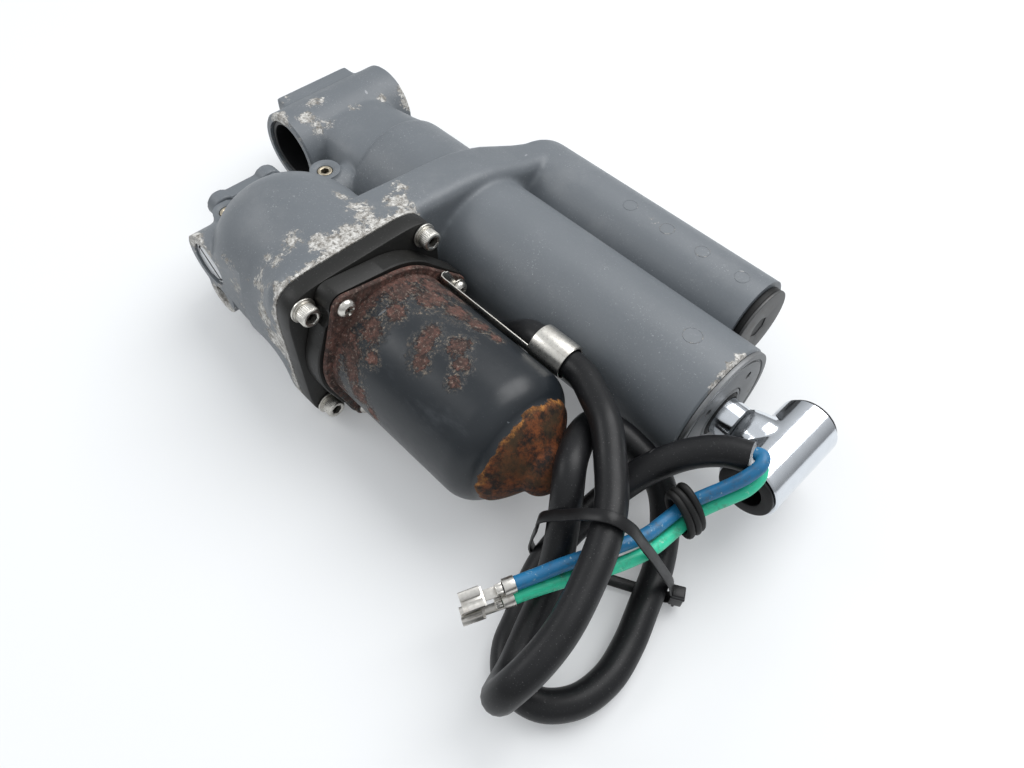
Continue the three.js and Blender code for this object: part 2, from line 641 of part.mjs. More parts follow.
function reliefSpring() {
  const turns = 4;
  const startX = PUMP_X + 1;
  const endX = PUMP_FACE_X - 4 - 7.4;
  const steps = turns * 9;
  const points = [];
  for (let step = 0; step <= steps; step += 1) {
    const share = step / steps;
    const angle = 2 * Math.PI * turns * share;
    points.push(new THREE.Vector3(
      startX + share * (endX - startX),
      MOTOR_Y + 2.6 * Math.cos(angle),
      MOTOR_Z + 23 + 2.6 * Math.sin(angle)));
  }
  const wire = new THREE.Shape();
  wire.absarc(0, 0, 0.5, 0, 2 * Math.PI, false);
  const geometry = new THREE.ExtrudeGeometry(wire, {
    extrudePath: new THREE.CatmullRomCurve3(points), steps, curveSegments: 2, bevelEnabled: false,
  });
  return solid(geometry);
}

// ---------------------------------------------------------------- motor

function adapterPlate() {
  const geometry = toGeometry(slabAlongX(
    bulgedSquare(FLANGE_HALF, FLANGE_BULGE, 9), FLANGE_X + GAP, FLANGE_X + GAP + PLATE_THICKNESS, 4));
  geometry.translate(0, MOTOR_Y, MOTOR_Z);
  const pilot = rodAlongX(CHAMBER_RADIUS - GAP, FLANGE_X - 6, FLANGE_X + 2, MOTOR_Y, MOTOR_Z);
  const holes = CAP_SCREW_PLACES.map(([y, z]) => (
    rodAlongX(3.4, FLANGE_X - 1, HEAD_X + 1, y, z, SMALL_ROUND)));
  return cut(join(solid(geometry), pilot), ...holes,
    rodAlongX(11, FLANGE_X - 7, HEAD_X + 1, MOTOR_Y, MOTOR_Z, MEDIUM_ROUND),
    rodAlongX(30, FLANGE_X - 7, FLANGE_X - 1, MOTOR_Y, MOTOR_Z));
}

// M6 socket head cap screw with its captive washer.
function capScrew([y, z]) {
  const seat = HEAD_X;
  const head = seat + 1.5;
  const body = join(
    rodAlongX(6.3, seat, head, y, z, MEDIUM_ROUND),
    turnedAlongX([
      [head - 0.2, 0], [head - 0.2, 5], [head + 5.4, 5], [head + 6, 4.4], [head + 6, 0],
    ], y, z, MEDIUM_ROUND),
    rodAlongX(3, FLANGE_X - 8, seat + 1, y, z, SMALL_ROUND));
  return cut(body, hexagonAlongX(5, head + 2.6, head + 7, y, z));
}

// The straight-sided neck between the round plate and one of its ears, tangent to both.
function earNeck(angle, radius, earRadius, fromX, toX) {
  const middle = THREE.MathUtils.degToRad(angle);
  const flank = Math.acos((radius - earRadius) / EAR_RADIUS_FROM_AXIS);
  const [earY, earZ] = around(angle, EAR_RADIUS_FROM_AXIS);
  const touch = (y, z, size, side) => new THREE.Vector2(
    y + size * Math.cos(middle + side * flank), z + size * Math.sin(middle + side * flank));
  const corners = [
    touch(MOTOR_Y, MOTOR_Z, radius, -1), touch(earY, earZ, earRadius, -1),
    touch(earY, earZ, earRadius, 1), touch(MOTOR_Y, MOTOR_Z, radius, 1)];
  return slabAlongX(new THREE.Shape(corners), fromX, toX);
}

// Round plate with three ears for the long motor screws.
function earedPlate(radius, earRadius, fromX, toX) {
  const ears = EAR_ANGLES.flatMap((angle) => [
    rodAlongX(earRadius, fromX, toX, ...around(angle, EAR_RADIUS_FROM_AXIS), MEDIUM_ROUND),
    earNeck(angle, radius, earRadius, fromX, toX)]);
  return join(rodAlongX(radius, fromX, toX, MOTOR_Y, MOTOR_Z, LARGE_ROUND), ...ears);
}

const GROMMET_RADIUS = 7.7;

function endHead() {
  const end = HEAD_X + HEAD_LENGTH;
  const body = join(
    earedPlate(40.6, 6.7, HEAD_X, end),
    rodAlongX(8.4, HEAD_X, end, ...around(GROMMET_ANGLE, EAR_RADIUS_FROM_AXIS), MEDIUM_ROUND));
  const screwRelief = CAP_SCREW_PLACES.map(([y, z]) => (
    rodAlongX(6.8, HEAD_X - 1, RIM_X + 1, y, z, MEDIUM_ROUND)));
  const earHoles = EAR_ANGLES.map((angle) => (
    rodAlongX(2.9, HEAD_X + 2, RIM_X + 1, ...around(angle, EAR_RADIUS_FROM_AXIS), SMALL_ROUND)));
  return cut(body, ...screwRelief, ...earHoles,
    rodAlongX(11, HEAD_X - 1, RIM_X + 1, MOTOR_Y, MOTOR_Z, MEDIUM_ROUND),
    rodAlongX(32, HEAD_X + 6, RIM_X + 1, MOTOR_Y, MOTOR_Z));
}

function motorCan() {
  const shoulderX = 236;
  const wallX = RIM_X + RIM_THICKNESS;
  const outside = turnedAlongX([
    [wallX - 1, 0], [wallX - 1, CAN_RADIUS], [shoulderX, CAN_RADIUS], [242, 34.4], [246.5, 32.6],
    [250, 29.6], [252.4, 27.2], [255, 25.2], [258.5, 20.8], [262.5, 14.5], [264, 12], [269.5, 11],
    [273, 8], [274.5, 4], [274.5, 0],
  ], MOTOR_Y, MOTOR_Z, LARGE_ROUND);
  const inside = turnedAlongX([
    [RIM_X - 1, 0], [RIM_X - 1, CAN_RADIUS - CAN_WALL], [shoulderX, CAN_RADIUS - CAN_WALL],
    [243, 31.4], [250, 26], [260, 13], [261, 7.5], [270.5, 7.5], [270.5, 0],
  ], MOTOR_Y, MOTOR_Z, LARGE_ROUND);
  const earHoles = EAR_ANGLES.map((angle) => (
    rodAlongX(2.9, RIM_X - 1, wallX + 1, ...around(angle, EAR_RADIUS_FROM_AXIS), SMALL_ROUND)));
  const [grommetY, grommetZ] = around(GROMMET_ANGLE, EAR_RADIUS_FROM_AXIS);
  const grommetRelief = rodAlongX(
    GROMMET_RADIUS + GAP, RIM_X - 1, wallX + 0.5, grommetY, grommetZ, MEDIUM_ROUND);
  const rim = cut(earedPlate(38.6, 6, RIM_X, wallX), grommetRelief);
  return cut(join(rim, outside), inside, ...earHoles);
}

// Pan head screw through an ear; the cross recess is cut in the head.
function panScrew(angle, seatX) {
  const [y, z] = around(angle, EAR_RADIUS_FROM_AXIS);
  const body = join(
    turnedAlongX([
      [seatX, 0], [seatX, 4.5], [seatX + 1.3, 4.5], [seatX + 2.6, 3.7], [seatX + 3.3, 2],
      [seatX + 3.3, 0]], y, z, SMALL_ROUND),
    rodAlongX(2.5, HEAD_X + 3, seatX + 1, y, z, SMALL_ROUND));
  return cut(body,
    block(seatX + 2, seatX + 4, y - 2.4, y + 2.4, z - 0.5, z + 0.5),
    block(seatX + 2, seatX + 4, y - 0.5, y + 0.5, z - 2.4, z + 2.4));
}

// A seal or a bearing that the motor shaft turns in.
function shaftSleeve(outer, fromX, toX) {
  return ringAlongX(SHAFT_RADIUS + TURNING_GAP, outer, fromX, toX, MOTOR_Y, MOTOR_Z, MEDIUM_ROUND);
}

const ARMATURE_START = 180;
const ARMATURE_END = 226;
const ARMATURE_RADIUS = 24;

function motorShaft() {
  return join(
    rodAlongX(SHAFT_RADIUS, 126, 269, MOTOR_Y, MOTOR_Z, MEDIUM_ROUND),
    rodAlongX(5.2, 158, 240, MOTOR_Y, MOTOR_Z, MEDIUM_ROUND));
}

function armatureCore() {
  const slots = 8;
  const cuts = [];
  for (let slot = 0; slot < slots; slot += 1) {
    const geometry = new THREE.BoxGeometry(ARMATURE_END - ARMATURE_START + 2, 3, 12);
    geometry.translate(0, 0, ARMATURE_RADIUS - 3);
    geometry.rotateX((2 * Math.PI * slot) / slots);
    geometry.translate((ARMATURE_START + ARMATURE_END) / 2, MOTOR_Y, MOTOR_Z);
    cuts.push(solid(geometry));
  }
  const core = ringAlongX(5.2 + GAP, ARMATURE_RADIUS, ARMATURE_START, ARMATURE_END, MOTOR_Y, MOTOR_Z);
  return cut(core, ...cuts);
}

function windingEnd(fromX, toX) {
  const middle = (fromX + toX) / 2;
  return turnedAlongX([
    [fromX, 5.2 + GAP], [fromX, 16], [middle, 20.5], [toX, 16], [toX, 5.2 + GAP], [fromX, 5.2 + GAP],
  ], MOTOR_Y, MOTOR_Z, MEDIUM_ROUND);
}

function commutator() {
  return ringAlongX(5.2 + GAP, 11.5, 163, 172, MOTOR_Y, MOTOR_Z, MEDIUM_ROUND);
}

function brushHolder() {
  return ringAlongX(12.6, CAN_RADIUS - CAN_WALL - GAP, 160.5, 162.7, MOTOR_Y, MOTOR_Z);
}

function brush(side) {
  const inner = MOTOR_Z + side * 12;
  const outer = MOTOR_Z + side * 25;
  return block(163.2, 171.5, MOTOR_Y - 3.5, MOTOR_Y + 3.5, Math.min(inner, outer), Math.max(inner, outer));
}

function magnet(side) {
  const outer = CAN_RADIUS - CAN_WALL - GAP;
  const inner = ARMATURE_RADIUS + 1.5;
  const spread = 1.15;
  const middle = side > 0 ? 0 : Math.PI;
  const shape = new THREE.Shape();
  shape.absarc(0, 0, outer, middle - spread, middle + spread, false);
  shape.absarc(0, 0, inner, middle + spread, middle - spread, true);
  shape.closePath();
  const geometry = toGeometry(slabAlongX(shape, 176, 230, 12));
  geometry.translate(0, MOTOR_Y, MOTOR_Z);
  return solid(geometry);
}

function driveCoupling() {
  return ringAlongX(SHAFT_RADIUS + GAP, 8, 117, 134, MOTOR_Y, MOTOR_Z, MEDIUM_ROUND);
}

// ---------------------------------------------------------------- cable clip and cable

const BAND_Y = -45.8;
const BAND_Z = 61;
const BAND_START_X = 222;
const BAND_END_X = 241;
const BAND_INNER = 7.7;
const BAND_OUTER = 8.4;

// Stainless clip: a foot under an ear screw, an arm along the can and a rolled band.
function cableClip() {
  const footX = RIM_X + RIM_THICKNESS + GAP;
  const [footY, footZ] = around(EAR_ANGLES[1], EAR_RADIUS_FROM_AXIS);
  const foot = cut(
    join(
      rodAlongX(6, footX, footX + 1, footY, footZ, MEDIUM_ROUND),
      block(footX, footX + 1, -50.6, footY, footZ, 64.5)),
    rodAlongX(2.9, footX - 1, footX + 2, footY, footZ, SMALL_ROUND));
  const arm = block(footX, BAND_START_X + 1, -54.2, -53.5, 59.5, 64.5);
  const bend = block(footX, footX + 1, -54.2, -50, 59.5, 64.5);
  const band = ringAlongX(BAND_INNER, BAND_OUTER, BAND_START_X, BAND_END_X, BAND_Y, BAND_Z, MEDIUM_ROUND);
  return join(foot, bend, arm, band);
}

function cableGrommet() {
  const start = HEAD_X + HEAD_LENGTH + GAP;
  const [y, z] = around(GROMMET_ANGLE, EAR_RADIUS_FROM_AXIS);
  return turnedAlongX([
    [start, 0], [start, GROMMET_RADIUS], [start + 8, GROMMET_RADIUS], [start + 14, 7.2], [start + 14, 0],
  ], y, z, MEDIUM_ROUND);
}

const SHEATH_POINTS = [
  [173, -44.7, 32.1], [180, -44.6, 32.4], [190, -43.8, 36], [199, -43.3, 42.5], [207, -43.6, 50.5],
  [214.5, -44.9, 58.2], [221, -45.8, 61], [231, -45.8, 61], [242, -45.8, 61], [250, -47.3, 62.2],
  [262, -53.4, 64.5], [276, -62, 67], [290, -74.5, 64.5], [301, -86.5, 64], [310, -101, 62.5],
  [317, -119, 59.5], [321.5, -136, 56.5], [322.5, -150, 53], [321, -161, 46.5], [318.5, -164.5, 37],
  [315.5, -160, 28], [312, -150, 23], [307, -137, 23.5], [301.5, -122, 28.5], [296, -110, 36.5],
  [290, -101, 46.5], [285, -94.5, 56.5], [278, -85.5, 62], [271.5, -74, 58.5], [266, -62, 50.5],
  [264.5, -51.5, 43.5], [271, -45, 38.5], [282, -43.2, 35], [293, -43.4, 31], [303, -46, 24.5],
  [311, -52, 17.4], [318, -61, 12.8], [324, -72, 11], [330, -88, 9.8], [336, -105, 7.6], [339, -122, 7.1],
  [336, -138, 7.1], [326, -149.5, 7.1], [312, -151.5, 7.1], [301.5, -143, 7.1], [295.5, -130, 7.2],
  [289.5, -117, 9.5], [286.5, -105, 15], [287, -92, 23.5], [289.5, -78, 32.5], [293, -63, 40.5],
  [298.5, -49.5, 47], [306.5, -38, 52.5], [316.5, -30, 57], [327, -26, 59.8],
];

const BLUE_POINTS = [
  [327.8, -25.7, 63.5], [330.6, -25.8, 64.8], [332.6, -29.8, 64.6], [331, -36, 60.6], [327, -42, 54.5], [322, -49, 48.5], [318.5, -56, 45], [317, -67, 44], [316, -79, 46.3],
  [312.5, -91, 48.8], [307, -103, 49], [301.5, -114, 47.5], [297, -124, 46], [293, -133, 45.3],
];

const GREEN_POINTS = [
  [329.4, -25, 57], [332.2, -25.6, 57.4], [334.2, -29.4, 56.6], [333.6, -35, 52.8],
  [330.2, -40.6, 47.8], [326.3, -46.2, 43], [323, -54, 39.8], [321.8, -66, 38.7], [321, -80, 41.5], [317.5, -93, 43.5],
  [311.5, -105.5, 43], [305, -116, 41.5], [299.5, -126, 40], [295, -135, 38.5],
];

function toVectors(points) {
  return points.map(([x, y, z]) => new THREE.Vector3(x, y, z));
}

function softTube(points, radius, sides, steps) {
  const section = new THREE.Shape();
  for (let side = 0; side < sides; side += 1) {
    const angle = (2 * Math.PI * side) / sides;
    const place = [radius * Math.cos(angle), radius * Math.sin(angle)];
    if (side === 0) section.moveTo(...place);
    else section.lineTo(...place);
  }
  section.closePath();
  return solid(new THREE.ExtrudeGeometry(section, {
    extrudePath: new THREE.CatmullRomCurve3(toVectors(points), false, 'centripetal'),
    steps,
    bevelEnabled: false,
  }));
}

// Turns a solid built along +X from the origin to start at a point and follow a direction.
function placedAlong(shape, start, direction, roll = 0) {
  const forward = direction.clone().normalize();
  const side = new THREE.Vector3(0, 0, 1).cross(forward).normalize();
  const up = forward.clone().cross(side);
  const basis = new THREE.Matrix4().makeBasis(forward, side, up);
  const geometry = toGeometry(shape);
  geometry.rotateX(roll);
  geometry.applyMatrix4(basis);
  geometry.translate(start.x, start.y, start.z);
  return solid(geometry);
}

// Crimped spade terminal: a crimp barrel, a flat throat and a rolled receptacle.
function spadeTerminal(points, roll) {
  const [before, end] = toVectors(points.slice(-2));
  const direction = end.clone().sub(before).normalize();
  const start = end.clone().addScaledVector(direction, GAP);
  const barrel = rodAlongX(3.1, 0, 6, 0, 0, SMALL_ROUND);
  const throat = block(5, 12, -1.6, 1.6, -1, 0.2);
  const receptacle = cut(
    block(11, 21, -4.2, 4.2, -1.8, 1.4),
    block(13, 22, -3.5, 3.5, -1, 0.7));
  return placedAlong(join(barrel, throat, receptacle), start, direction, roll);
}

// Loop of flat band through hand-placed points, with the lock block at its open end.
const TIE_POINTS = [
  [334.5, -74.9, 13], [333, -76.7, 22], [328.7, -80.4, 34], [324.6, -83.8, 45], [319.6, -87.8, 57],
  [315.2, -91.2, 67], [308, -95.8, 73], [299.8, -99.7, 69.6], [290.4, -103.4, 60.6],
  [282.4, -106.7, 51.4], [281.2, -106.6, 41], [278.8, -106, 28], [277.7, -105.2, 15],
  [280.8, -102.6, 5.9], [294, -95.2, 3.2], [310, -86.6, 2.1], [325, -78.6, 1.8], [333.4, -74.6, 2.9],
  [335.8, -73.6, 5.8],
];

function cableTie() {
  const width = 5.2;
  const thickness = 1.2;
  const turn = THREE.MathUtils.degToRad(31); // the loop's plane about Z
  const corners = [[-1, -1], [1, -1], [1, 1], [-1, 1]].map(([across, along]) => (
    new THREE.Vector2((across * thickness) / 2, (along * width) / 2)
      .rotateAround(new THREE.Vector2(), turn)));
  const section = new THREE.Shape(corners);
  const band = solid(new THREE.ExtrudeGeometry(section, {
    extrudePath: new THREE.CatmullRomCurve3(toVectors(TIE_POINTS), false, 'centripetal'),
    steps: 48,
    bevelEnabled: false,
  }));
  const lock = solid(new THREE.BoxGeometry(5.6, 5.6, 10.4)
    .rotateZ(turn)
    .translate(336.9, -73.2, 8.4));
  return join(band, lock);
}

// Three turns of a rubber ring round the two wires.
function rubberRing() {
  const width = 9;
  const outline = new THREE.Shape();
  outline.absellipse(0, 0, 12.2, 7, 0, 2 * Math.PI, false);
  const hole = new THREE.Path();
  hole.absellipse(0, 0, 9.6, 4.6, 0, 2 * Math.PI, true);
  outline.holes.push(hole);
  const ring = slabAlongX(outline, -width / 2, width / 2, SMALL_ROUND);
  const middle = new THREE.Vector3(320.1, -57, 43.3);
  return placedAlong(ring, middle, new THREE.Vector3(-0.15, -1, -0.1), THREE.MathUtils.degToRad(-50));
}

// ---------------------------------------------------------------- assembly

const unit = new THREE.Group();
unit.position.set(-CENTRE_X, -CENTRE_Y, 0);

function add(name, shape, material) {
  const mesh = new THREE.Mesh(toGeometry(shape), material);
  mesh.name = name;
  unit.add(mesh);
}

add('main_housing', mainHousing(), greyPaint);
add('lower_bushing_near', lowerBushing(-1), blackPlastic);
add('lower_bushing_far', lowerBushing(1), blackPlastic);
add('rear_cover', rearCover(), greyPaint);
add('release_valve', releaseValve(), steel);
add('release_valve_ring', valveRing(), steel);
GALLERY_PLUGS.forEach((place, index) => {
  add(`gallery_plug_${index + 1}`, galleryPlug(place), brass);
});
add('reservoir_plug', reservoirPlug(), blackPlastic);
add('reservoir_seal', reservoirSeal(), rubber);

add('end_cap', endCap(), aluminium);
add('end_cap_seal', capSeal(), rubber);
add('rod_wiper', rodWiper(), rubber);
add('rod_seal', rodSeal(), rubber);
add('piston_rod', pistonRod(), chrome);
add('rod_bushing_near', rodBushing(-1), blackPlastic);
add('rod_bushing_far', rodBushing(1), blackPlastic);
add('piston', piston(), aluminium);
add('piston_seal', pistonSeal(), rubber);
add('piston_nut', pistonNut(), steel);
add('free_piston', freePiston(), aluminium);

add('pump_housing', gearPumpHousing(), aluminium);
add('pump_cover', pumpCover(), steel);
add('drive_gear', gear(MOTOR_Z, Math.PI / 2, 125.4), steel);
add('driven_gear', gear(DRIVEN_Z, Math.PI / 2 + Math.PI / GEAR_TEETH, PUMP_FACE_X + 6), steel);
add('relief_ball', reliefBall(), steel);
add('relief_spring', reliefSpring(), steel);

add('adapter_plate', adapterPlate(), blackPlastic);
CAP_SCREW_PLACES.forEach((place, index) => {
  add(`cap_screw_${index + 1}`, capScrew(place), stainless);
});
add('motor_end_head', endHead(), blackPlastic);
add('motor_can', motorCan(), blackPaint);
EAR_ANGLES.forEach((angle, index) => {
  const clipUnderHead = index === 1 ? 1 + GAP : 0;
  add(`ear_screw_${index + 1}`, panScrew(angle, RIM_X + RIM_THICKNESS + GAP + clipUnderHead), stainless);
});
add('motor_shaft', motorShaft(), steel);
add('drive_coupling', driveCoupling(), steel);
add('armature_core', armatureCore(), steel);
add('front_winding', windingEnd(173, ARMATURE_START - GAP), copper);
add('rear_winding', windingEnd(ARMATURE_END + GAP, 234), copper);
add('commutator', commutator(), copper);
add('brush_holder', brushHolder(), blackPlastic);
add('brush_upper', brush(1), carbon);
add('brush_lower', brush(-1), carbon);
add('magnet_left', magnet(-1), ferrite);
add('magnet_right', magnet(1), ferrite);
add('shaft_seal', shaftSleeve(10.7, 139, 146), rubber);
add('front_bearing', shaftSleeve(10.7, 148.4, 155.4), bronze);
add('rear_bearing', shaftSleeve(7.2, 262.5, 269.5), bronze);

add('cable_clip', cableClip(), stainless);
add('cable_grommet', cableGrommet(), rubber);
add('cable_sheath', softTube(SHEATH_POINTS, CABLE_RADIUS, 8, 78), rubber);
add('blue_wire', softTube(BLUE_POINTS, WIRE_RADIUS, 8, 22), bluePlastic);
add('green_wire', softTube(GREEN_POINTS, WIRE_RADIUS, 8, 22), greenPlastic);
add('blue_terminal', spadeTerminal(BLUE_POINTS, -0.2), stainless);
add('green_terminal', spadeTerminal(GREEN_POINTS, 0.4), stainless);
add('cable_tie', cableTie(), blackPlastic);
add('rubber_ring', rubberRing(), rubber);

export default unit;
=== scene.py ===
"""Looks of a power trim and tilt unit: a cylinder, an oil reservoir and an electric gear pump.

Shapes are drawn in millimetres from the lower eye's axis, X along the cylinder, and each piece is
turned into metres in the frame's own place when it is made.
"""
import json
import math

import bmesh
import bpy
import numpy as np
from mathutils import Matrix, Vector


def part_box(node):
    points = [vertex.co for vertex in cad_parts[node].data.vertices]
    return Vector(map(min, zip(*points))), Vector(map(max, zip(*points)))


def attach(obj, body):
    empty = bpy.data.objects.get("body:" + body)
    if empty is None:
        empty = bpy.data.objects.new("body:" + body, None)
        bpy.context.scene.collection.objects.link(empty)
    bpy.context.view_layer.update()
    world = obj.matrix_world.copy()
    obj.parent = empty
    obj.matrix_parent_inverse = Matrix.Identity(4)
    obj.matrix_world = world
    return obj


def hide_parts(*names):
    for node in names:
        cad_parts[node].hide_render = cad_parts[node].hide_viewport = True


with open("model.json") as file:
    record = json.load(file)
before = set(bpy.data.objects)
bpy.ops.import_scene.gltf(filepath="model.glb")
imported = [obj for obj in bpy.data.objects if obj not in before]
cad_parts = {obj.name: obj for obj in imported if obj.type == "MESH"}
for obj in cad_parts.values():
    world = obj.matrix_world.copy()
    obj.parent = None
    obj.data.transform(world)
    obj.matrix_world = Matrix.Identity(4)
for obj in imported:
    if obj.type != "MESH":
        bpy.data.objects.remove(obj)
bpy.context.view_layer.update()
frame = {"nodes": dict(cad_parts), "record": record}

# ---------------------------------------------------------------- driving dimensions

CENTRE_X = 159.5
CENTRE_Y = -24.05
TO_METRES = Matrix.Diagonal((0.001, 0.001, 0.001, 1)) @ Matrix.Translation((-CENTRE_X, -CENTRE_Y, 0))

CAMERA_PLACE = (374.25, -222.49, 341.57)
CAMERA_ANGLES = (43.74, 53.56, 2.23)  # azimuth, elevation and roll
CAMERA_LENS = 27.72

CYLINDER = (0, 36)  # Y and Z of the cylinder's axis
MOTOR = (-86, 44)
RESERVOIR = (57, 36.7)
EYE_NEAR_Y = -34.6
EYE_FAR_Y = 42.2
EYE_X = 331
LOWER_EYE = (0, 36)  # X and Z of each eye's axis
ROD_EYE = (EYE_X, 36)
EYE_ROLL = math.radians(-2.7)
BARREL_RADIUS = 34.7
BARREL_END_X = 295.8
CAP_FACE_X = 298.3
RESERVOIR_END_X = 275
FLANGE_X = 137
PLATE_END_X = 147.3
HEAD_X = 147.6
RIM_X = 158.3
RIM_END_X = 160.8
CAN_RADIUS = 35
EAR_DISTANCE = 43
EAR_ANGLES = (120, 5, 240)
GROMMET_ANGLE = -16
NOTCH_RADIUS = 8
CAP_SCREW_PITCH = 35
VALVE = (57, 43)
VALVE_FACE_Y = -124
SPARE_PORT = (60, 22)  # X and Z
GALLERY_PLUGS = ((45, -100.5, 58, 7.8), (46, -39.5, 52.5, 8.6))
BAND_Y = -45.8
BAND_Z = 61
SHEATH_DIAMETER = 14
WIRE_DIAMETER = 6

SHEATH_POINTS = [
    (173, -44.7, 32.1), (180, -44.6, 32.4), (190, -43.8, 36), (199, -43.3, 42.5), (207, -43.6, 50.5),
    (214.5, -44.9, 58.2), (221, -45.8, 61), (231, -45.8, 61), (242, -45.8, 61), (250, -47.3, 62.2),
    (262, -53.4, 64.5), (276, -62, 67), (290, -74.5, 64.5), (301, -86.5, 64), (310, -101, 62.5),
    (317, -119, 59.5), (321.5, -136, 56.5), (322.5, -150, 53), (321, -161, 46.5), (318.5, -164.5, 37),
    (315.5, -160, 28), (312, -150, 23), (307, -137, 23.5), (301.5, -122, 28.5), (296, -110, 36.5),
    (290, -101, 46.5), (285, -94.5, 56.5), (278, -85.5, 62), (271.5, -74, 58.5), (266, -62, 50.5),
    (264.5, -51.5, 43.5), (271, -45, 38.5), (282, -43.2, 35), (293, -43.4, 31), (303, -46, 24.5),
    (311, -52, 17.4), (318, -61, 12.8), (324, -72, 11), (330, -88, 9.8), (336, -105, 7.6),
    (339, -122, 7.1), (336, -138, 7.1), (326, -149.5, 7.1), (312, -151.5, 7.1), (301.5, -143, 7.1),
    (295.5, -130, 7.2), (289.5, -117, 9.5), (286.5, -105, 15), (287, -92, 23.5), (289.5, -78, 32.5),
    (293, -63, 40.5), (298.5, -49.5, 47), (306.5, -38, 52.5), (316.5, -30, 57), (327, -26, 59.8),
]
BLUE_POINTS = [
    (327.8, -25.7, 63.5), (330.6, -25.8, 64.8), (332.6, -29.8, 64.6), (331, -36, 60.6),
    (327, -42, 54.5), (322, -49, 48.5), (318.5, -56, 45), (317, -67, 44), (316, -79, 46.3),
    (312.5, -91, 48.8), (307, -103, 49), (301.5, -114, 47.5), (297, -124, 46), (293, -133, 45.3),
]
GREEN_POINTS = [
    (329.4, -25, 57), (332.2, -25.6, 57.4), (334.2, -29.4, 56.6), (333.6, -35, 52.8),
    (330.2, -40.6, 47.8), (326.3, -46.2, 43), (323, -54, 39.8), (321.8, -66, 38.7), (321, -80, 41.5),
    (317.5, -93, 43.5), (311.5, -105.5, 43), (305, -116, 41.5), (299.5, -126, 40), (295, -135, 38.5),
]
TIE_POINTS = [
    (334.5, -74.9, 13), (333, -76.7, 22), (328.7, -80.4, 34), (324.6, -83.8, 45), (319.6, -87.8, 57),
    (315.2, -91.2, 67), (308, -95.8, 73), (299.8, -99.7, 69.6), (290.4, -103.4, 60.6),
    (282.4, -106.7, 51.4), (281.2, -106.6, 41), (278.8, -106, 28), (277.7, -105.2, 15),
    (280.8, -102.6, 5.9), (294, -95.2, 3.2), (310, -86.6, 2.1), (325, -78.6, 1.8), (333.4, -74.6, 2.9),
    (335.8, -73.6, 5.8),
]


# ---------------------------------------------------------------- camera

def to_metres(point):
    return TO_METRES @ Vector(point)


def placed(name, data):
    obj = bpy.data.objects.new(name, data)
    bpy.context.scene.collection.objects.link(obj)
    return obj


def make_camera():
    azimuth, elevation, roll = (math.radians(angle) for angle in CAMERA_ANGLES)
    back = Vector((
        math.sin(azimuth) * math.cos(elevation),
        -math.cos(azimuth) * math.cos(elevation),
        math.sin(elevation)))
    right = (-back).cross(Vector((0, 0, 1))).normalized()
    up = right.cross(-back)
    rolled_right = math.cos(roll) * right + math.sin(roll) * up
    rolled_up = -math.sin(roll) * right + math.cos(roll) * up
    data = bpy.data.cameras.new("camera")
    data.sensor_width = 36
    data.lens = CAMERA_LENS
    data.clip_start = 0.01
    camera = placed("camera", data)
    turn = Matrix((rolled_right, rolled_up, back)).transposed().to_4x4()
    camera.matrix_world = Matrix.Translation(to_metres(CAMERA_PLACE)) @ turn
    bpy.context.scene.camera = camera


make_camera()


# ---------------------------------------------------------------- material building blocks

class Paint:
    """A principled material with short calls for the node patterns that the finishes share."""

    def __init__(self, name):
        self.material = bpy.data.materials.new(name)
        self.material.use_nodes = True
        self.tree = self.material.node_tree
        self.shader = self.tree.nodes["Principled BSDF"]
        self.place = self.node("TexCoord").outputs["Object"]

    def put(self, socket, value):
        """Puts a number, a vector, a colour or another node's output into a socket."""
        if isinstance(value, bpy.types.NodeSocket):
            self.tree.links.new(value, socket)
        elif isinstance(value, tuple) and len(socket.default_value) == 4:
            socket.default_value = (*value, 1)
        else:
            socket.default_value = value

    def node(self, kind, inputs=()):
        node = self.tree.nodes.new("ShaderNode" + kind)
        for name, value in inputs:
            self.put(node.inputs[name], value)
        return node

    def shade(self, name, value):
        self.put(self.shader.inputs[name], value)

    def noise(self, scale, detail=4, roughness=0.55, stretch=(1, 1, 1), turn=(0, 0, 0)):
        mapping = self.node("Mapping", [("Vector", self.place), ("Scale", stretch), ("Rotation", turn)])
        return self.node("TexNoise", [
            ("Vector", mapping.outputs["Vector"]), ("Scale", scale), ("Detail", detail),
            ("Roughness", roughness)]).outputs["Fac"]

    def painted(self, name):
        """A value that the mesh holds at its points."""
        node = self.node("Attribute")
        node.attribute_name = name
        return node.outputs["Fac"]

    def maths(self, operation, first, second):
        node = self.node("Math", [(0, first), (1, second)])
        node.operation = operation
        return node.outputs[0]

    def times(self, first, second):
        return self.maths("MULTIPLY", first, second)

    def plus(self, first, second):
        return self.maths("ADD", first, second)

    def minus(self, first, second):
        return self.maths("SUBTRACT", first, second)

    def step(self, value, low, high):
        """0 below low, 1 above high, smooth between."""
        node = self.node("MapRange", [("Value", value), ("From Min", low), ("From Max", high)])
        node.interpolation_type = "SMOOTHSTEP"
        return node.outputs["Result"]

    def spots(self, scale, detail, roughness, low, high):
        """Noise turned into ragged spots: 0 where it is below low, 1 where it is above high."""
        return self.step(self.noise(scale, detail, roughness), low, high)

    def scaled(self, value, low, high):
        """Turns 0 to 1 into low to high."""
        node = self.node("MapRange", [("Value", value), ("To Min", low), ("To Max", high)])
        return node.outputs["Result"]

    def mix(self, share, first, second):
        node = self.node("Mix")
        node.data_type = "RGBA"
        for socket, value in zip((0, 6, 7), (share, first, second)):
            self.put(node.inputs[socket], value)
        return node.outputs[2]

    def colour(self, value):
        self.shade("Base Color", value)

    def roughness(self, value):
        self.shade("Roughness", value)

    def bump(self, height, depth_mm, strength=1.0):
        depth = depth_mm / 1000
        node = self.node("Bump", [("Height", height), ("Distance", depth), ("Strength", strength)])
        self.shade("Normal", node.outputs["Normal"])


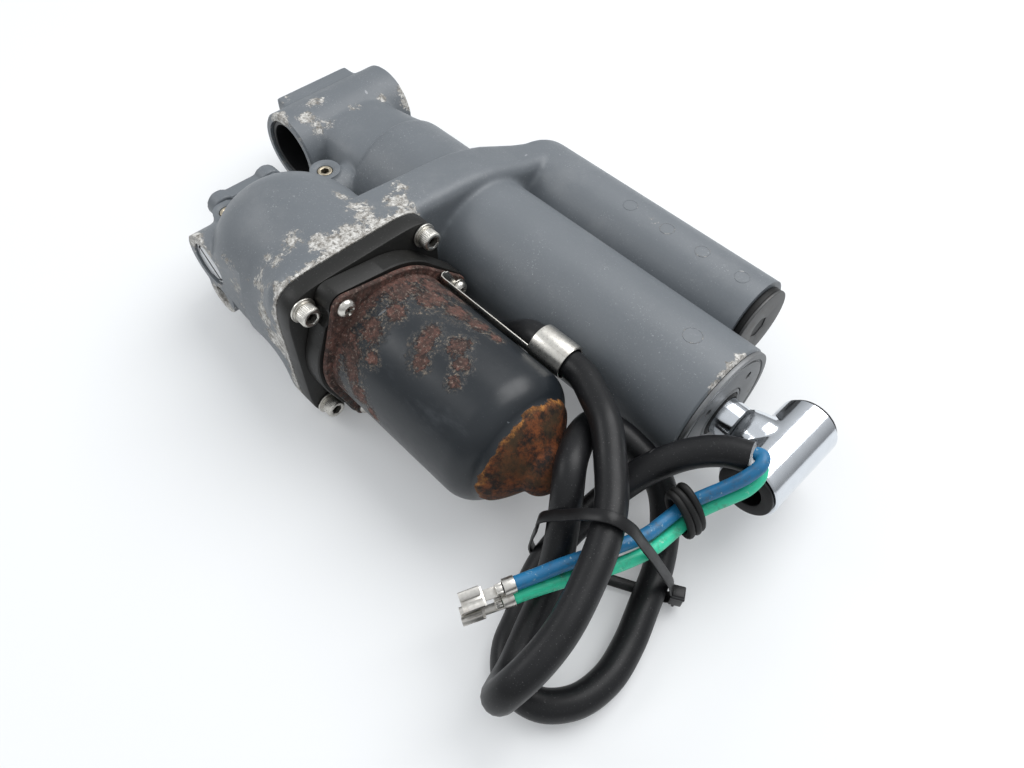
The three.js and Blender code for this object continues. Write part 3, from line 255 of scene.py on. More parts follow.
def scratches(paint, amount):
    """Thin lines in two directions, 1 on a scratch."""
    along = paint.noise(260, 2, 0.5, (0.12, 1, 1), (0.2, 0.1, 0.5))
    across = paint.noise(300, 2, 0.5, (1, 0.1, 1), (0.1, 0.6, -0.7))
    thin = paint.maths("MAXIMUM", along, across)
    patchy = paint.noise(35, 3)
    value = paint.plus(thin, paint.times(patchy, amount))
    return paint.step(value, 0.78 + amount * 0.5, 0.80 + amount * 0.5)


# ---------------------------------------------------------------- finishes

def grey_paint():
    """Satin grey marine paint with chips down to pale primer and bare alloy where the mesh is worn."""
    paint = Paint("grey_paint")
    base = paint.mix(paint.noise(14, 5, 0.6), (0.098, 0.112, 0.125), (0.149, 0.165, 0.181))
    base = paint.mix(paint.times(paint.noise(900, 3, 0.6), 0.3), base, (0.17, 0.18, 0.195))
    # pale specks: partly dust, partly painted glints standing in for the sparkle of the orange-peel
    # paint; random patches set how many show
    dust_and_glints = paint.spots(1000, 5, 0.8, 0.59, 0.66)
    patches = paint.spots(40, 6, 0.7, 0.44, 0.66)
    share = paint.scaled(patches, 0.1, 0.75)
    base = paint.mix(paint.times(dust_and_glints, share), base, (0.46, 0.47, 0.48))
    cloud = paint.times(paint.spots(22, 7, 0.75, 0.48, 0.72), 0.4)
    base = paint.mix(cloud, base, (0.2, 0.21, 0.22))
    base = paint.mix(paint.times(scratches(paint, 0.25), 0.7), base, (0.36, 0.37, 0.39))

    coarse = paint.minus(paint.noise(95, 8, 0.75), 0.5)
    fine = paint.minus(paint.noise(430, 7, 0.8), 0.5)
    ragged = paint.plus(paint.times(coarse, 1.7), paint.times(fine, 1.1))
    ragged = paint.plus(ragged, paint.painted("wear"))
    chip = paint.step(ragged, 0.56, 0.60)
    rim = paint.minus(paint.step(ragged, 0.44, 0.56), chip)
    mottle = paint.spots(330, 8, 0.8, 0.36, 0.66)
    metal = paint.mix(mottle, (0.19, 0.175, 0.155), (0.70, 0.69, 0.66))
    pits = paint.spots(480, 6, 0.8, 0.53, 0.62)
    metal = paint.mix(paint.times(pits, 0.8), metal, (0.10, 0.09, 0.075))
    base = paint.mix(paint.times(rim, 0.6), base, (0.22, 0.225, 0.23))
    paint.colour(paint.mix(chip, base, metal))
    grain = paint.noise(600, 4, 0.6)
    paint.roughness(paint.plus(paint.scaled(grain, 0.36, 0.58), paint.times(chip, 0.2)))
    height = paint.minus(paint.times(paint.noise(260, 5, 0.6), 0.5), chip)
    pitted = paint.times(paint.times(pits, chip), 0.6)
    paint.bump(paint.minus(height, pitted), 0.16, 0.8)
    return paint.material


def rust_colours(paint):
    """Mottled red brown with dark pits and pale specks."""
    mottle = paint.spots(230, 8, 0.8, 0.38, 0.64)
    red = paint.mix(mottle, (0.018, 0.011, 0.009), (0.150, 0.068, 0.052))
    worn = paint.times(paint.spots(80, 6, 0.75, 0.42, 0.62), 0.75)
    red = paint.mix(worn, red, (0.045, 0.026, 0.021))
    pale = paint.spots(620, 6, 0.8, 0.54, 0.66)
    return paint.mix(paint.times(pale, 0.7), red, (0.34, 0.27, 0.225))


def orange_colours(paint, inside):
    """Fresh orange rust at the border of the bare end, darker brown and black further in."""
    streaks = paint.spots(300, 7, 0.75, 0.36, 0.64)
    bright = paint.mix(streaks, (0.07, 0.025, 0.006), (0.46, 0.19, 0.04))
    mottle = paint.spots(170, 8, 0.8, 0.40, 0.66)
    brown = paint.mix(mottle, (0.006, 0.004, 0.003), (0.21, 0.060, 0.016))
    olive = paint.spots(75, 6, 0.75, 0.46, 0.62)
    brown = paint.mix(paint.times(olive, 0.7), brown, (0.055, 0.033, 0.014))
    ragged = paint.plus(inside, paint.times(paint.noise(120, 7, 0.75), 0.9))
    return paint.mix(paint.step(ragged, 0.42, 0.62), bright, brown)


def black_can_paint():
    """Worn black motor paint with painted highlight streaks along the can. The mesh's rust and orange
    values say where it has broken out into rust.
    """
    paint = Paint("can_paint")
    paint.shade("Specular IOR Level", 0.42)
    broad = paint.noise(16, 4, 0.6)
    base = paint.mix(broad, (0.006, 0.008, 0.011), (0.020, 0.025, 0.030))
    dust_and_glints = paint.spots(1300, 4, 0.7, 0.64, 0.72)
    base = paint.mix(paint.times(dust_and_glints, 0.3), base, (0.16, 0.17, 0.18))
    # painted highlight: lighter streaks stretched along the can's length stand in for the gloss highlight
    # bands on the black paint
    painted_highlight_streaks = paint.step(paint.noise(38, 6, 0.7, (0.35, 1, 1), (0, 0.2, 0.3)), 0.58, 0.78)
    base = paint.mix(paint.times(painted_highlight_streaks, 0.35), base, (0.10, 0.11, 0.12))
    base = paint.mix(paint.times(scratches(paint, 0.2), 0.5), base, (0.2, 0.22, 0.24))

    broad_edge = paint.minus(paint.noise(110, 8, 0.75), 0.5)
    fine_edge = paint.minus(paint.noise(520, 6, 0.8), 0.5)
    edge = paint.plus(paint.times(broad_edge, 1.8), paint.times(fine_edge, 2.2))
    blisters = paint.plus(paint.painted("rust"), edge)
    halo = paint.step(blisters, -0.42, 0.15)
    core = paint.step(blisters, 0.18, 0.40)
    speckle = paint.spots(620, 6, 0.8, 0.49, 0.60)
    mottle = paint.spots(300, 5, 0.7, 0.35, 0.65)
    beige = paint.mix(mottle, (0.045, 0.036, 0.029), (0.26, 0.21, 0.16))
    base = paint.mix(paint.times(halo, speckle), base, beige)
    base = paint.mix(core, base, rust_colours(paint))

    inside = paint.painted("orange")
    border_noise = paint.minus(paint.noise(60, 8, 0.7), 0.5)
    ring = paint.plus(inside, paint.times(border_noise, 0.55))
    bare = paint.step(ring, 0.0, 0.03)
    paint.colour(paint.mix(bare, base, orange_colours(paint, inside)))

    rough = paint.maths("MAXIMUM", core, bare)
    smooth = paint.scaled(paint.noise(240, 4), 0.24, 0.42)
    paint.roughness(paint.plus(smooth, paint.times(rough, 0.45)))
    bumps = paint.times(rough, paint.noise(520, 6, 0.75))
    swell = paint.plus(bumps, paint.times(halo, 0.2))
    paint.bump(paint.plus(swell, paint.times(paint.noise(60, 3), 0.1)), 0.45, 0.9)
    return paint.material


def black_surface(name, dark, light, smooth, rough, specks=0.25, grain=500):
    """Black paint, plastic or rubber with dust, scuffs and an uneven gloss."""
    paint = Paint(name)
    broad = paint.noise(30, 4, 0.6)
    base = paint.mix(broad, dark, light)
    dust_and_glints = paint.spots(1400, 4, 0.7, 0.62, 0.72)
    base = paint.mix(paint.times(dust_and_glints, specks), base, (0.3, 0.3, 0.3))
    paint.shade("Specular IOR Level", 0.3)
    scuff = paint.times(scratches(paint, 0.3), specks * 1.5)
    base = paint.mix(scuff, base, (0.22, 0.22, 0.22))
    paint.colour(base)
    paint.roughness(paint.scaled(paint.noise(120, 4), smooth, rough))
    paint.bump(paint.noise(grain, 4, 0.6), 0.06, 0.6)
    return paint.material


def bare_metal(name, dark, light, smooth, rough, tarnish=0.2, brushed=(1, 1, 1), grain=700):
    """Bare metal with brushing, stains and small dents, and painted shade in the bottoms of sockets and
    holes.
    """
    paint = Paint(name)
    paint.shade("Metallic", 1.0)
    fine = paint.noise(grain, 4, 0.6, brushed)
    base = paint.mix(fine, dark, light)
    stain = paint.times(paint.spots(90, 6, 0.7, 0.52, 0.72), tarnish)
    base = paint.mix(stain, base, (0.16, 0.11, 0.07))
    # painted shade: where the mesh's value says so, the colour goes near black inside sockets and holes,
    # and the surface gets rougher
    dirt_and_shade = paint.painted("dirt_and_shade")
    paint.colour(paint.mix(dirt_and_shade, base, (0.02, 0.016, 0.012)))
    gloss = paint.scaled(fine, smooth, rough)
    dull = paint.maths("MAXIMUM", dirt_and_shade, stain)
    paint.roughness(paint.plus(gloss, paint.times(dull, 0.5)))
    paint.bump(paint.plus(fine, paint.noise(60, 3)), 0.03, 0.5)
    return paint.material


def wire_plastic(name, dark, light):
    """Soft coloured insulation, dirty and scuffed."""
    paint = Paint(name)
    base = paint.mix(paint.noise(60, 4), dark, light)
    dirt_and_shade = paint.times(paint.spots(150, 6, 0.7, 0.5, 0.75), 0.65)
    base = paint.mix(dirt_and_shade, base, (0.06, 0.055, 0.045))
    chalk = paint.times(paint.spots(420, 4, 0.7, 0.62, 0.7), 0.4)
    base = paint.mix(chalk, base, (0.6, 0.68, 0.62))
    paint.colour(base)
    paint.roughness(paint.scaled(paint.noise(200, 4), 0.32, 0.6))
    paint.bump(paint.noise(240, 5), 0.12, 0.6)
    return paint.material


GREY = grey_paint()
CAN = black_can_paint()
PLATE_BLACK = black_surface("plate_black", (0.006, 0.006, 0.0055), (0.017, 0.0165, 0.015), 0.36, 0.55)
PLASTIC_BLACK = black_surface("plastic_black", (0.004, 0.004, 0.0045), (0.010, 0.010, 0.011), 0.28, 0.46,
                              specks=0.12)
SHEATH_BLACK = black_surface("sheath_rubber", (0.003, 0.003, 0.0035), (0.011, 0.0115, 0.013), 0.3, 0.52,
                             specks=0.3, grain=380)
SEAL_BLACK = black_surface("seal_rubber", (0.004, 0.004, 0.004), (0.010, 0.010, 0.010), 0.45, 0.65, 0.1)
STAINLESS = bare_metal("stainless", (0.52, 0.50, 0.46), (0.78, 0.76, 0.71), 0.2, 0.38, 0.35)
CHROME = bare_metal("chrome", (0.62, 0.65, 0.69), (0.76, 0.79, 0.83), 0.07, 0.18, 0.06, grain=180)
TIN = bare_metal("tinned_brass", (0.50, 0.48, 0.44), (0.80, 0.78, 0.74), 0.22, 0.42, 0.3)
ALLOY = bare_metal("alloy", (0.15, 0.155, 0.16), (0.26, 0.265, 0.27), 0.45, 0.65, 0.15)
DARK_ALLOY = bare_metal("dark_alloy", (0.08, 0.08, 0.08), (0.15, 0.15, 0.15), 0.45, 0.65, 0.15)
BRASS = bare_metal("brass", (0.30, 0.25, 0.17), (0.66, 0.60, 0.48), 0.3, 0.5, 0.35)
STEEL = bare_metal("steel", (0.40, 0.41, 0.42), (0.62, 0.63, 0.64), 0.22, 0.4, 0.1, (0.1, 1, 1))
COPPER = bare_metal("copper", (0.45, 0.17, 0.07), (0.75, 0.34, 0.18), 0.25, 0.4, 0.1, (0.2, 1, 1))
BRONZE = bare_metal("bronze", (0.26, 0.17, 0.08), (0.42, 0.29, 0.15), 0.4, 0.6, 0.1)
CARBON = black_surface("carbon", (0.012, 0.012, 0.013), (0.03, 0.03, 0.032), 0.55, 0.8, 0.1)
FERRITE = black_surface("ferrite", (0.03, 0.033, 0.036), (0.06, 0.064, 0.07), 0.6, 0.8, 0.15)
BLUE = wire_plastic("blue_insulation", (0.003, 0.085, 0.22), (0.010, 0.19, 0.38))
GREEN = wire_plastic("green_insulation", (0.012, 0.40, 0.23), (0.04, 0.70, 0.42))


# ---------------------------------------------------------------- shape building blocks

def on_axis(axis, centre, along, across, up):
    """A point at a distance along an axis through centre, offset by across and up."""
    if axis == "X":
        return (along, centre[0] + across, centre[1] + up)
    if axis == "Y":
        return (centre[0] + across, along, centre[1] + up)
    return (centre[0] + across, centre[1] + up, along)


def skinned(shape, rings, closed=False):
    """Joins each ring of points to the next by faces. A closed one also joins the last to the first, and
    an open one gets a face over each end that isn't a single point."""
    pairs = list(zip(rings, rings[1:]))
    if closed:
        pairs.append((rings[-1], rings[0]))
    for low, high in pairs:
        count = max(len(low), len(high))
        for corner in range(count):
            following = (corner + 1) % count
            corners = [low[corner], low[following]] if len(low) > 1 else [low[0]]
            corners += [high[following], high[corner]] if len(high) > 1 else [high[0]]
            shape.faces.new(corners)
    for ring in () if closed else (rings[0], rings[-1]):
        if len(ring) > 1:
            shape.faces.new(ring)
    bmesh.ops.recalc_face_normals(shape, faces=shape.faces)
    return shape


def loft(stations, centre, axis="X", sides=96, hollow=False):
    """A closed solid through rings. A station is a distance along the axis and an outline, which is a
    radius or a function from angle to radius. A hollow one closes on its first ring."""
    shape = bmesh.new()
    rings = []
    for along, outline in stations:
        ring = []
        if outline == 0:
            ring.append(shape.verts.new(on_axis(axis, centre, along, 0, 0)))
        else:
            for side in range(sides):
                turn = 2 * math.pi * side / sides
                radius = outline(turn) if callable(outline) else outline
                ring.append(shape.verts.new(
                    on_axis(axis, centre, along, radius * math.cos(turn), radius * math.sin(turn))))
        rings.append(ring)
    return skinned(shape, rings, closed=hollow)


def rounded(profile, radius, steps=3):
    """The same profile with each inner corner rounded off."""
    result = [profile[0]]
    for before, corner, after in zip(profile, profile[1:], profile[2:]):
        lengths = [math.dist(corner, before), math.dist(corner, after)]
        cut = min(radius, 0.45 * lengths[0], 0.45 * lengths[1])
        start = [c + (b - c) * cut / lengths[0] for c, b in zip(corner, before)]
        end = [c + (a - c) * cut / lengths[1] for c, a in zip(corner, after)]
        for step in range(steps + 1):
            share = step / steps
            result.append(tuple(
                (1 - share) ** 2 * s + 2 * share * (1 - share) * c + share ** 2 * e
                for s, c, e in zip(start, corner, end)))
    result.append(profile[-1])
    return result


def rounded_loop(profile, radius, steps=3):
    """Rounds every corner of a profile that closes on itself."""
    around = [profile[-1], *profile, profile[0]]
    return rounded(around, radius, steps)[1:-1]


def rod(start, end, radius, centre, axis="X", sides=24):
    return loft([(start, 0), (start, radius), (end, radius), (end, 0)], centre, axis, sides)


def disc(start, end, radius, edge, centre, sides=64):
    """A rod with rounded rims."""
    return loft(rounded([(start, 0), (start, radius), (end, radius), (end, 0)], edge), centre,
                sides=sides)


def tube(start, end, inner, outer, edge, centre, axis="X", sides=96):
    """A pipe with rounded rims."""
    profile = rounded_loop([(start, inner), (start, outer), (end, outer), (end, inner)], edge)
    return loft(profile, centre, axis, sides, hollow=True)


def hexagon(across_flats):
    def outline(turn):
        nearest = (turn + math.pi / 6) % (math.pi / 3) - math.pi / 6
        return across_flats / 2 / math.cos(nearest)
    return outline


def bulged_square(half, corner_power=6.6):
    def outline(turn):
        total = abs(math.cos(turn)) ** corner_power + abs(math.sin(turn)) ** corner_power
        return half / total ** (1 / corner_power)
    return outline


def cross(reach, half_width):
    def outline(turn):
        nearest = (turn + math.pi / 4) % (math.pi / 2) - math.pi / 4
        return min(reach, half_width / max(abs(math.sin(nearest)), 1e-3))
    return outline


def knurled(radius, depth, teeth):
    def outline(turn):
        return radius - depth * (0.5 + 0.5 * math.cos(teeth * turn))
    return outline


def signed_angle(turn, degrees):
    """The turn from an angle in degrees, between minus and plus half a turn."""
    return (turn - math.radians(degrees) + math.pi) % (2 * math.pi) - math.pi


def eared(radius, ear_radius, extra=()):
    """A circle with the three screw ears, and other ears as (angle, ear radius). An ear's flanks are
    straight and touch both the circle and the ear's round end."""
    ears = [(angle, ear_radius) for angle in EAR_ANGLES] + list(extra)

    def reach_of(turn, angle, size):
        away = abs(signed_angle(turn, angle))
        flank = math.acos((radius - size) / EAR_DISTANCE)
        tangent = math.atan2(size * math.sin(flank), EAR_DISTANCE + size * math.cos(flank))
        if away >= flank:
            return radius
        if away > tangent:
            return radius / math.cos(flank - away)
        side = EAR_DISTANCE * math.sin(away)
        return EAR_DISTANCE * math.cos(away) + math.sqrt(size ** 2 - side ** 2)

    def outline(turn):
        return max(reach_of(turn, angle, size) for angle, size in ears)
    return outline


def without_screw_heads(outline, head_radius):
    """Keeps an outline out of the four cap screws' heads."""
    distance = math.hypot(CAP_SCREW_PITCH, CAP_SCREW_PITCH)

    def trimmed(turn):
        away = (turn % (math.pi / 2)) - math.pi / 4
        side = distance * math.sin(away)
        if abs(side) >= head_radius:
            return outline(turn)
        return min(outline(turn), distance * math.cos(away) - math.sqrt(head_radius ** 2 - side ** 2))
    return trimmed


def prism(outline, start, end, axis="X"):
    """A closed solid from an outline of two-number points, extruded along an axis."""
    shape = bmesh.new()
    rings = [[shape.verts.new(on_axis(axis, (0, 0), along, a, b)) for a, b in outline]
             for along in (start, end)]
    return skinned(shape, rings)


def shrunk(outline, inset):
    """The same closed outline with each point moved inwards."""
    result = []
    count = len(outline)
    for index, point in enumerate(outline):
        before, after = Vector(outline[index - 1]), Vector(outline[(index + 1) % count])
        along = (after - before).normalized()
        result.append((point[0] - inset * along.y, point[1] + inset * along.x))
    return result


def rounded_prism(outline, start, end, edge, lean):
    """A closed solid along X from an anticlockwise outline, with rounded edges at both ends. lean moves
    the starting face along X at a given Y."""
    shape = bmesh.new()
    quarter = [math.pi / 2 * step / 4 for step in range(5)]

    def ring(face_x, inwards, angle, shift):
        x = face_x + inwards * edge * (1 - math.cos(angle))
        inset = edge * (1 - math.sin(angle))
        return [shape.verts.new((x + shift(y), y, z)) for y, z in shrunk(outline, inset)]
    rings = [ring(start, 1, angle, lean) for angle in quarter]
    rings += [ring(end, -1, angle, lambda y: 0) for angle in reversed(quarter)]
    return skinned(shape, rings)


def block(low, high):
    outline = [(low[1], low[2]), (high[1], low[2]), (high[1], high[2]), (low[1], high[2])]
    return prism(outline, low[0], high[0])


def bevelled(shape, width, segments=2):
    bmesh.ops.bevel(
        shape, geom=list(shape.edges), offset=width, segments=segments, profile=0.5,
        affect="EDGES", clamp_overlap=True)
    return shape


def moved(shape, matrix):
    bmesh.ops.transform(shape, matrix=matrix, verts=shape.verts)
    return shape


def smooth_route(points, count):
    """Points spread along the centripetal Catmull-Rom curve through the given ones."""
    points = [Vector(p) for p in points]
    whole = [2 * points[0] - points[1], *points, 2 * points[-1] - points[-2]]
    dense = []
    for p0, p1, p2, p3 in zip(whole, whole[1:], whole[2:], whole[3:]):
        knots = [0.0]
        for a, b in ((p0, p1), (p1, p2), (p2, p3)):
            knots.append(knots[-1] + max((b - a).length, 1e-6) ** 0.5)
        t0, t1, t2, t3 = knots
        for step in range(12):
            t = t1 + (t2 - t1) * step / 12
            a1 = (t1 - t) / (t1 - t0) * p0 + (t - t0) / (t1 - t0) * p1
            a2 = (t2 - t) / (t2 - t1) * p1 + (t - t1) / (t2 - t1) * p2
            a3 = (t3 - t) / (t3 - t2) * p2 + (t - t2) / (t3 - t2) * p3
            b1 = (t2 - t) / (t2 - t0) * a1 + (t - t0) / (t2 - t0) * a2
            b2 = (t3 - t) / (t3 - t1) * a2 + (t - t1) / (t3 - t1) * a3
            dense.append((t2 - t) / (t2 - t1) * b1 + (t - t1) / (t2 - t1) * b2)
    dense.append(points[-1])
    reach = [0.0]
    for a, b in zip(dense, dense[1:]):
        reach.append(reach[-1] + (b - a).length)
    spread = np.linspace(0, reach[-1], count)
    columns = [np.interp(spread, reach, [p[k] for p in dense]) for k in range(3)]
    return [Vector(p) for p in zip(*columns)]


def band(route, flat_side, section):
    """A strip along a route in one plane. flat_side is the plane's normal. section gives the strip's
    half width and its half thickness at a step."""
    flat_side = Vector(flat_side).normalized()
    shape = bmesh.new()
    rings = []
    for step, point in enumerate(route):
        ahead = route[min(step + 1, len(route) - 1)] - route[max(step - 1, 0)]
        side = (flat_side - ahead.normalized() * flat_side.dot(ahead.normalized())).normalized()
        out = ahead.normalized().cross(side)
        half_width, half_thickness = section(step)
        corners = [(-1, -0.6), (-0.85, -1), (0.85, -1), (1, -0.6),
                   (1, 0.6), (0.85, 1), (-0.85, 1), (-1, 0.6)]
        rings.append([shape.verts.new(point + side * a * half_width + out * b * half_thickness)
                      for a, b in corners])
    return skinned(shape, rings)


def tube_ring(points, radius, sides=12):
    """A closed loop of round section."""
    shape = bmesh.new()
    count = len(points)
    middle = sum(points, Vector()) / count
    normal = (points[0] - middle).cross(points[count // 4] - middle).normalized()
    turns = [2 * math.pi * side / sides for side in range(sides)]
    rings = []
    for step, point in enumerate(points):
        ahead = (points[(step + 1) % count] - points[step - 1]).normalized()
        out = ahead.cross(normal).normalized()
        rings.append([shape.verts.new(point + radius * (out * math.cos(turn) + normal * math.sin(turn)))
                      for turn in turns])
    return skinned(shape, rings, closed=True)


def joined(shapes):
    whole = bmesh.new()
    for shape in shapes:
        part = bpy.data.meshes.new("part")
        shape.to_mesh(part)
        shape.free()
        whole.from_mesh(part)
        bpy.data.meshes.remove(part)
    return whole


def drawn_object(name, shapes):
    """An object in drawing units, before it becomes a piece."""
    mesh = bpy.data.meshes.new(name)
    whole = joined(shapes)
    whole.to_mesh(mesh)
    whole.free()
    return placed(name, mesh)


def apply_modifiers(obj):
    """Replaces the mesh by what its modifiers make of it."""
    graph = bpy.context.evaluated_depsgraph_get()
    result = bpy.data.meshes.new_from_object(obj.evaluated_get(graph))
    obj.modifiers.clear()
    old = obj.data
    obj.data = result
    bpy.data.meshes.remove(old)


def fused(obj, voxel, smoothing):
    """Melts overlapping shapes into one skin with small fillets where they meet."""
    remesh = obj.modifiers.new("remesh", "REMESH")
    remesh.mode = "VOXEL"
    remesh.voxel_size = voxel
    smooth = obj.modifiers.new("smooth", "SMOOTH")
    smooth.factor = 0.5
    smooth.iterations = smoothing
    apply_modifiers(obj)
    return obj


def carved(obj, cutters):
    """Cuts each shape out of the object in turn."""
    for cutter in cutters:
        tool = drawn_object("cutter", [cutter])
        cut = obj.modifiers.new("cut", "BOOLEAN")
        cut.operation = "DIFFERENCE"
        cut.object = tool
        cut.solver = "MANIFOLD"
        apply_modifiers(obj)
        bpy.data.objects.remove(tool)
    return obj


def as_piece(obj, material, body="casting", stands_for=(), crease=35):
    """Turns a drawn object into a shown piece of the part."""
    mesh = obj.data
    mesh.transform(TO_METRES)
    mesh.materials.clear()
    mesh.materials.append(material)
    mesh.polygons.foreach_set("material_index", [0] * len(mesh.polygons))
    mesh.shade_smooth()
    mesh.set_sharp_from_angle(angle=math.radians(crease))
    mesh.update()
    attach(obj, body)
    if stands_for:
        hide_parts(*stands_for)
    return obj


def paint_values(obj, name, rule):
    """Gives each of the mesh's points the value that rule makes from an array of points."""
    points = np.zeros(len(obj.data.vertices) * 3, np.float32)
    obj.data.vertices.foreach_get("co", points)
    values = rule(points.reshape(-1, 3).astype(float))
    attribute = obj.data.attributes.new(name, "FLOAT", "POINT")
    attribute.data.foreach_set("value", values.astype(np.float32))


def everywhere(value):
    return lambda points: np.full(len(points), value)


def in_hole(centre, radius, mouth, axis="X"):
    """A rule that is 1 inside a hole, below its mouth, and 0 elsewhere."""
    along, across, up = (0, 1, 2) if axis == "X" else (2, 0, 1)

    def rule(points):
        from_axis = np.hypot(points[:, across] - centre[0], points[:, up] - centre[1])
        return ((from_axis < radius) & (points[:, along] < mouth)).astype(float)
    return rule


def make(name, shapes, material, body="casting", stands_for=(), crease=35, dirt_and_shade=None):
    obj = drawn_object(name, shapes)
    # painted shade: the optional rule darkens the bottoms of sockets and holes through the mesh's value
    if dirt_and_shade:
        paint_values(obj, "dirt_and_shade", dirt_and_shade)
    return as_piece(obj, material, body, stands_for, crease)


def cap_screw_place(side, height):
    return (MOTOR[0] + side * CAP_SCREW_PITCH, MOTOR[1] + height * CAP_SCREW_PITCH)


def around_motor(angle, distance):
    turn = math.radians(angle)
    return (MOTOR[0] + distance * math.cos(turn), MOTOR[1] + distance * math.sin(turn))


# ---------------------------------------------------------------- cable

def round_cord(name, points, diameter, material, count):
    """A curve of one open spline along the route, with round section."""
    data = bpy.data.curves.new(name, "CURVE")
    data.dimensions = "3D"
    data.bevel_depth = diameter / 2000
    data.bevel_resolution = 6
    data.use_fill_caps = True
    spline = data.splines.new("POLY")
    route = [to_metres(p) for p in smooth_route(points, count)]
    spline.points.add(len(route) - 1)
    for target, point in zip(spline.points, route):
        target.co = (*point, 1)
    spline.use_smooth = True
    data.materials.append(material)
    obj = placed(name, data)
    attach(obj, "casting")
    length = sum((b - a).length for a, b in zip(route, route[1:]))
    return obj, route[0], length


def along_frame(start, direction):
    """A matrix that lays a shape drawn along +X from the origin on a point and a direction."""
    forward = Vector(direction).normalized()
    side = Vector((0, 0, 1)).cross(forward).normalized()
    up = forward.cross(side)
    turn = Matrix((forward, side, up)).transposed().to_4x4()
    return Matrix.Translation(start) @ turn


def spade_terminal(name, points, roll, stands_for):
    """A crimped push-on terminal: two crimp barrels, a neck and a receptacle with rolled edges."""
    before, end = Vector(points[-2]), Vector(points[-1])
    sleeve = tube(-1.5, 3.4, 3.05, 3.6, 0.2, (0, 0), sides=32)
    wire_crimp = disc(3.2, 6.8, 2.4, 0.8, (0, 0), sides=24)
    neck = bevelled(block((3, -2.2, -2.2), (12.5, 2.2, -1.2)), 0.2)
    floor = bevelled(block((11.5, -4.0, -1.9), (21, 4.0, -1.0)), 0.25)
    rolls = []
    for side in (-1, 1):
        curl = [(-1.9, 3.4), (-1.2, 4.3), (0.0, 4.4), (0.9, 3.9), (1.1, 2.9), (0.7, 1.6), (0.1, 0.7),
                (-0.4, 0.9), (0.1, 1.9), (0.3, 2.8), (0.1, 3.4), (-0.5, 3.6), (-1.1, 3.4)]
        outline = [(side * across, up) for up, across in curl]
        rolls.append(prism(outline, 12.4, 21))
    wings = [bevelled(block((3.6, side * 1.6 - 0.5, -1.4), (6.4, side * 1.6 + 0.5, 2.1)), 0.3)
             for side in (-1, 1)]
    shapes = [sleeve, wire_crimp, neck, floor, *rolls, *wings]
    start = end + (end - before).normalized() * 0.4
    turn = along_frame(start, end - before) @ Matrix.Rotation(roll, 4, "X")
    for shape in shapes:
        moved(shape, turn)
    return make(name, shapes, TIN, stands_for=stands_for)


def tie_band():
    """A toothed strip pulled tight round the cable, with its ratchet head."""
    route = smooth_route(TIE_POINTS, 220)

    def section(step):
        return 2.6, 0.62 if step % 2 else 0.5
    strip = band(route, (0.46, -0.87, -0.1), section)
    turn = Matrix.Translation((336.9, -73.2, 8.4)) @ Matrix.Rotation(math.radians(31), 4, "Z")
    head = moved(bevelled(block((-2.9, -2.8, -5.2), (2.9, 2.8, 5.2)), 0.6, 3), turn)
    collar = moved(bevelled(block((-3.2, -3.1, 1.6), (3.2, 3.1, 3.2)), 0.4), turn)
    tail = moved(bevelled(block((-1.0, -2.2, -8.2), (0.2, 2.2, -5)), 0.3), turn)
    return make("tie_strap", [strip, head, collar, tail], PLASTIC_BLACK, stands_for=["cable_tie"],
                crease=30)


def rubber_rings():
    """Three turns of a rubber ring squeezed round the two wires."""
    turn = along_frame((320.1, -57, 43.3), (-0.15, -1, -0.1)) @ Matrix.Rotation(math.radians(-50), 4, "X")
    shapes = []
    for along, tilt, wide, tall in (
            (-3.0, 0.06, 10.6, 5.7), (0, -0.04, 10.9, 5.9), (3.0, 0.04, 10.4, 5.6)):
        loop = []
        for step in range(64):
            angle = 2 * math.pi * step / 64
            across = wide * math.cos(angle)
            loop.append(turn @ Vector((along + tilt * across * 0.8, across, tall * math.sin(angle))))
        shapes.append(tube_ring(loop, 1.75))
    return make("rubber_loops", shapes, SEAL_BLACK, stands_for=["rubber_ring"], crease=60)


def make_cables():
    tie = tie_band()
    rings = rubber_rings()
    blue_end = spade_terminal("blue_spade", BLUE_POINTS, -0.2, ["blue_terminal"])
    green_end = spade_terminal("green_spade", GREEN_POINTS, 0.4, ["green_terminal"])
    cords = (
        ("sheath", SHEATH_POINTS, 420, SHEATH_DIAMETER, SHEATH_BLACK, "cable_sheath", "rubber", "bare",
         [tie]),
        ("blue_lead", BLUE_POINTS, 120, WIRE_DIAMETER, BLUE, "blue_wire", "blue_plastic", "connector",
         [blue_end, rings]),
        ("green_lead", GREEN_POINTS, 120, WIRE_DIAMETER, GREEN, "green_wire", "green_plastic",
         "connector", [green_end]))
    for name, points, count, diameter, material, node, slot, far_end, on_it in cords:
        cord, exit_point, length = round_cord(name, points, diameter, material, count)
        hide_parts(node)


make_cables()


# ---------------------------------------------------------------- casting

def flange_flare():
    """The pump dome's round section opening into the bulged square of the motor flange."""
    square = bulged_square(43.6)
    stations = [(96, 0)]
    for step in range(13):
        share = min(step / 10, 1)
        x = 96 + 3.4 * step

        def outline(turn, share=share):
            blend = share * share
            return 43.2 * (1 - blend) + square(turn) * blend
        stations.append((x, outline))
    stations.append((141, square))
    stations.append((141, 0))
    return loft(stations, MOTOR, sides=128)


def pump_dome():
    profile = [(42.3, 0)]
    for step in range(1, 17):
        angle = math.pi / 2 * step / 16
        profile.append((86 - 43.7 * math.cos(angle), 43.7 * math.sin(angle)))
    profile += [(130, 43.7), (130, 0)]
    return loft(profile, MOTOR, sides=128)


def neck_section(across, up, power=3.6):
    def outline(turn):
        total = abs(math.cos(turn) / across) ** power + abs(math.sin(turn) / up) ** power
        return total ** (-1 / power)
    return outline


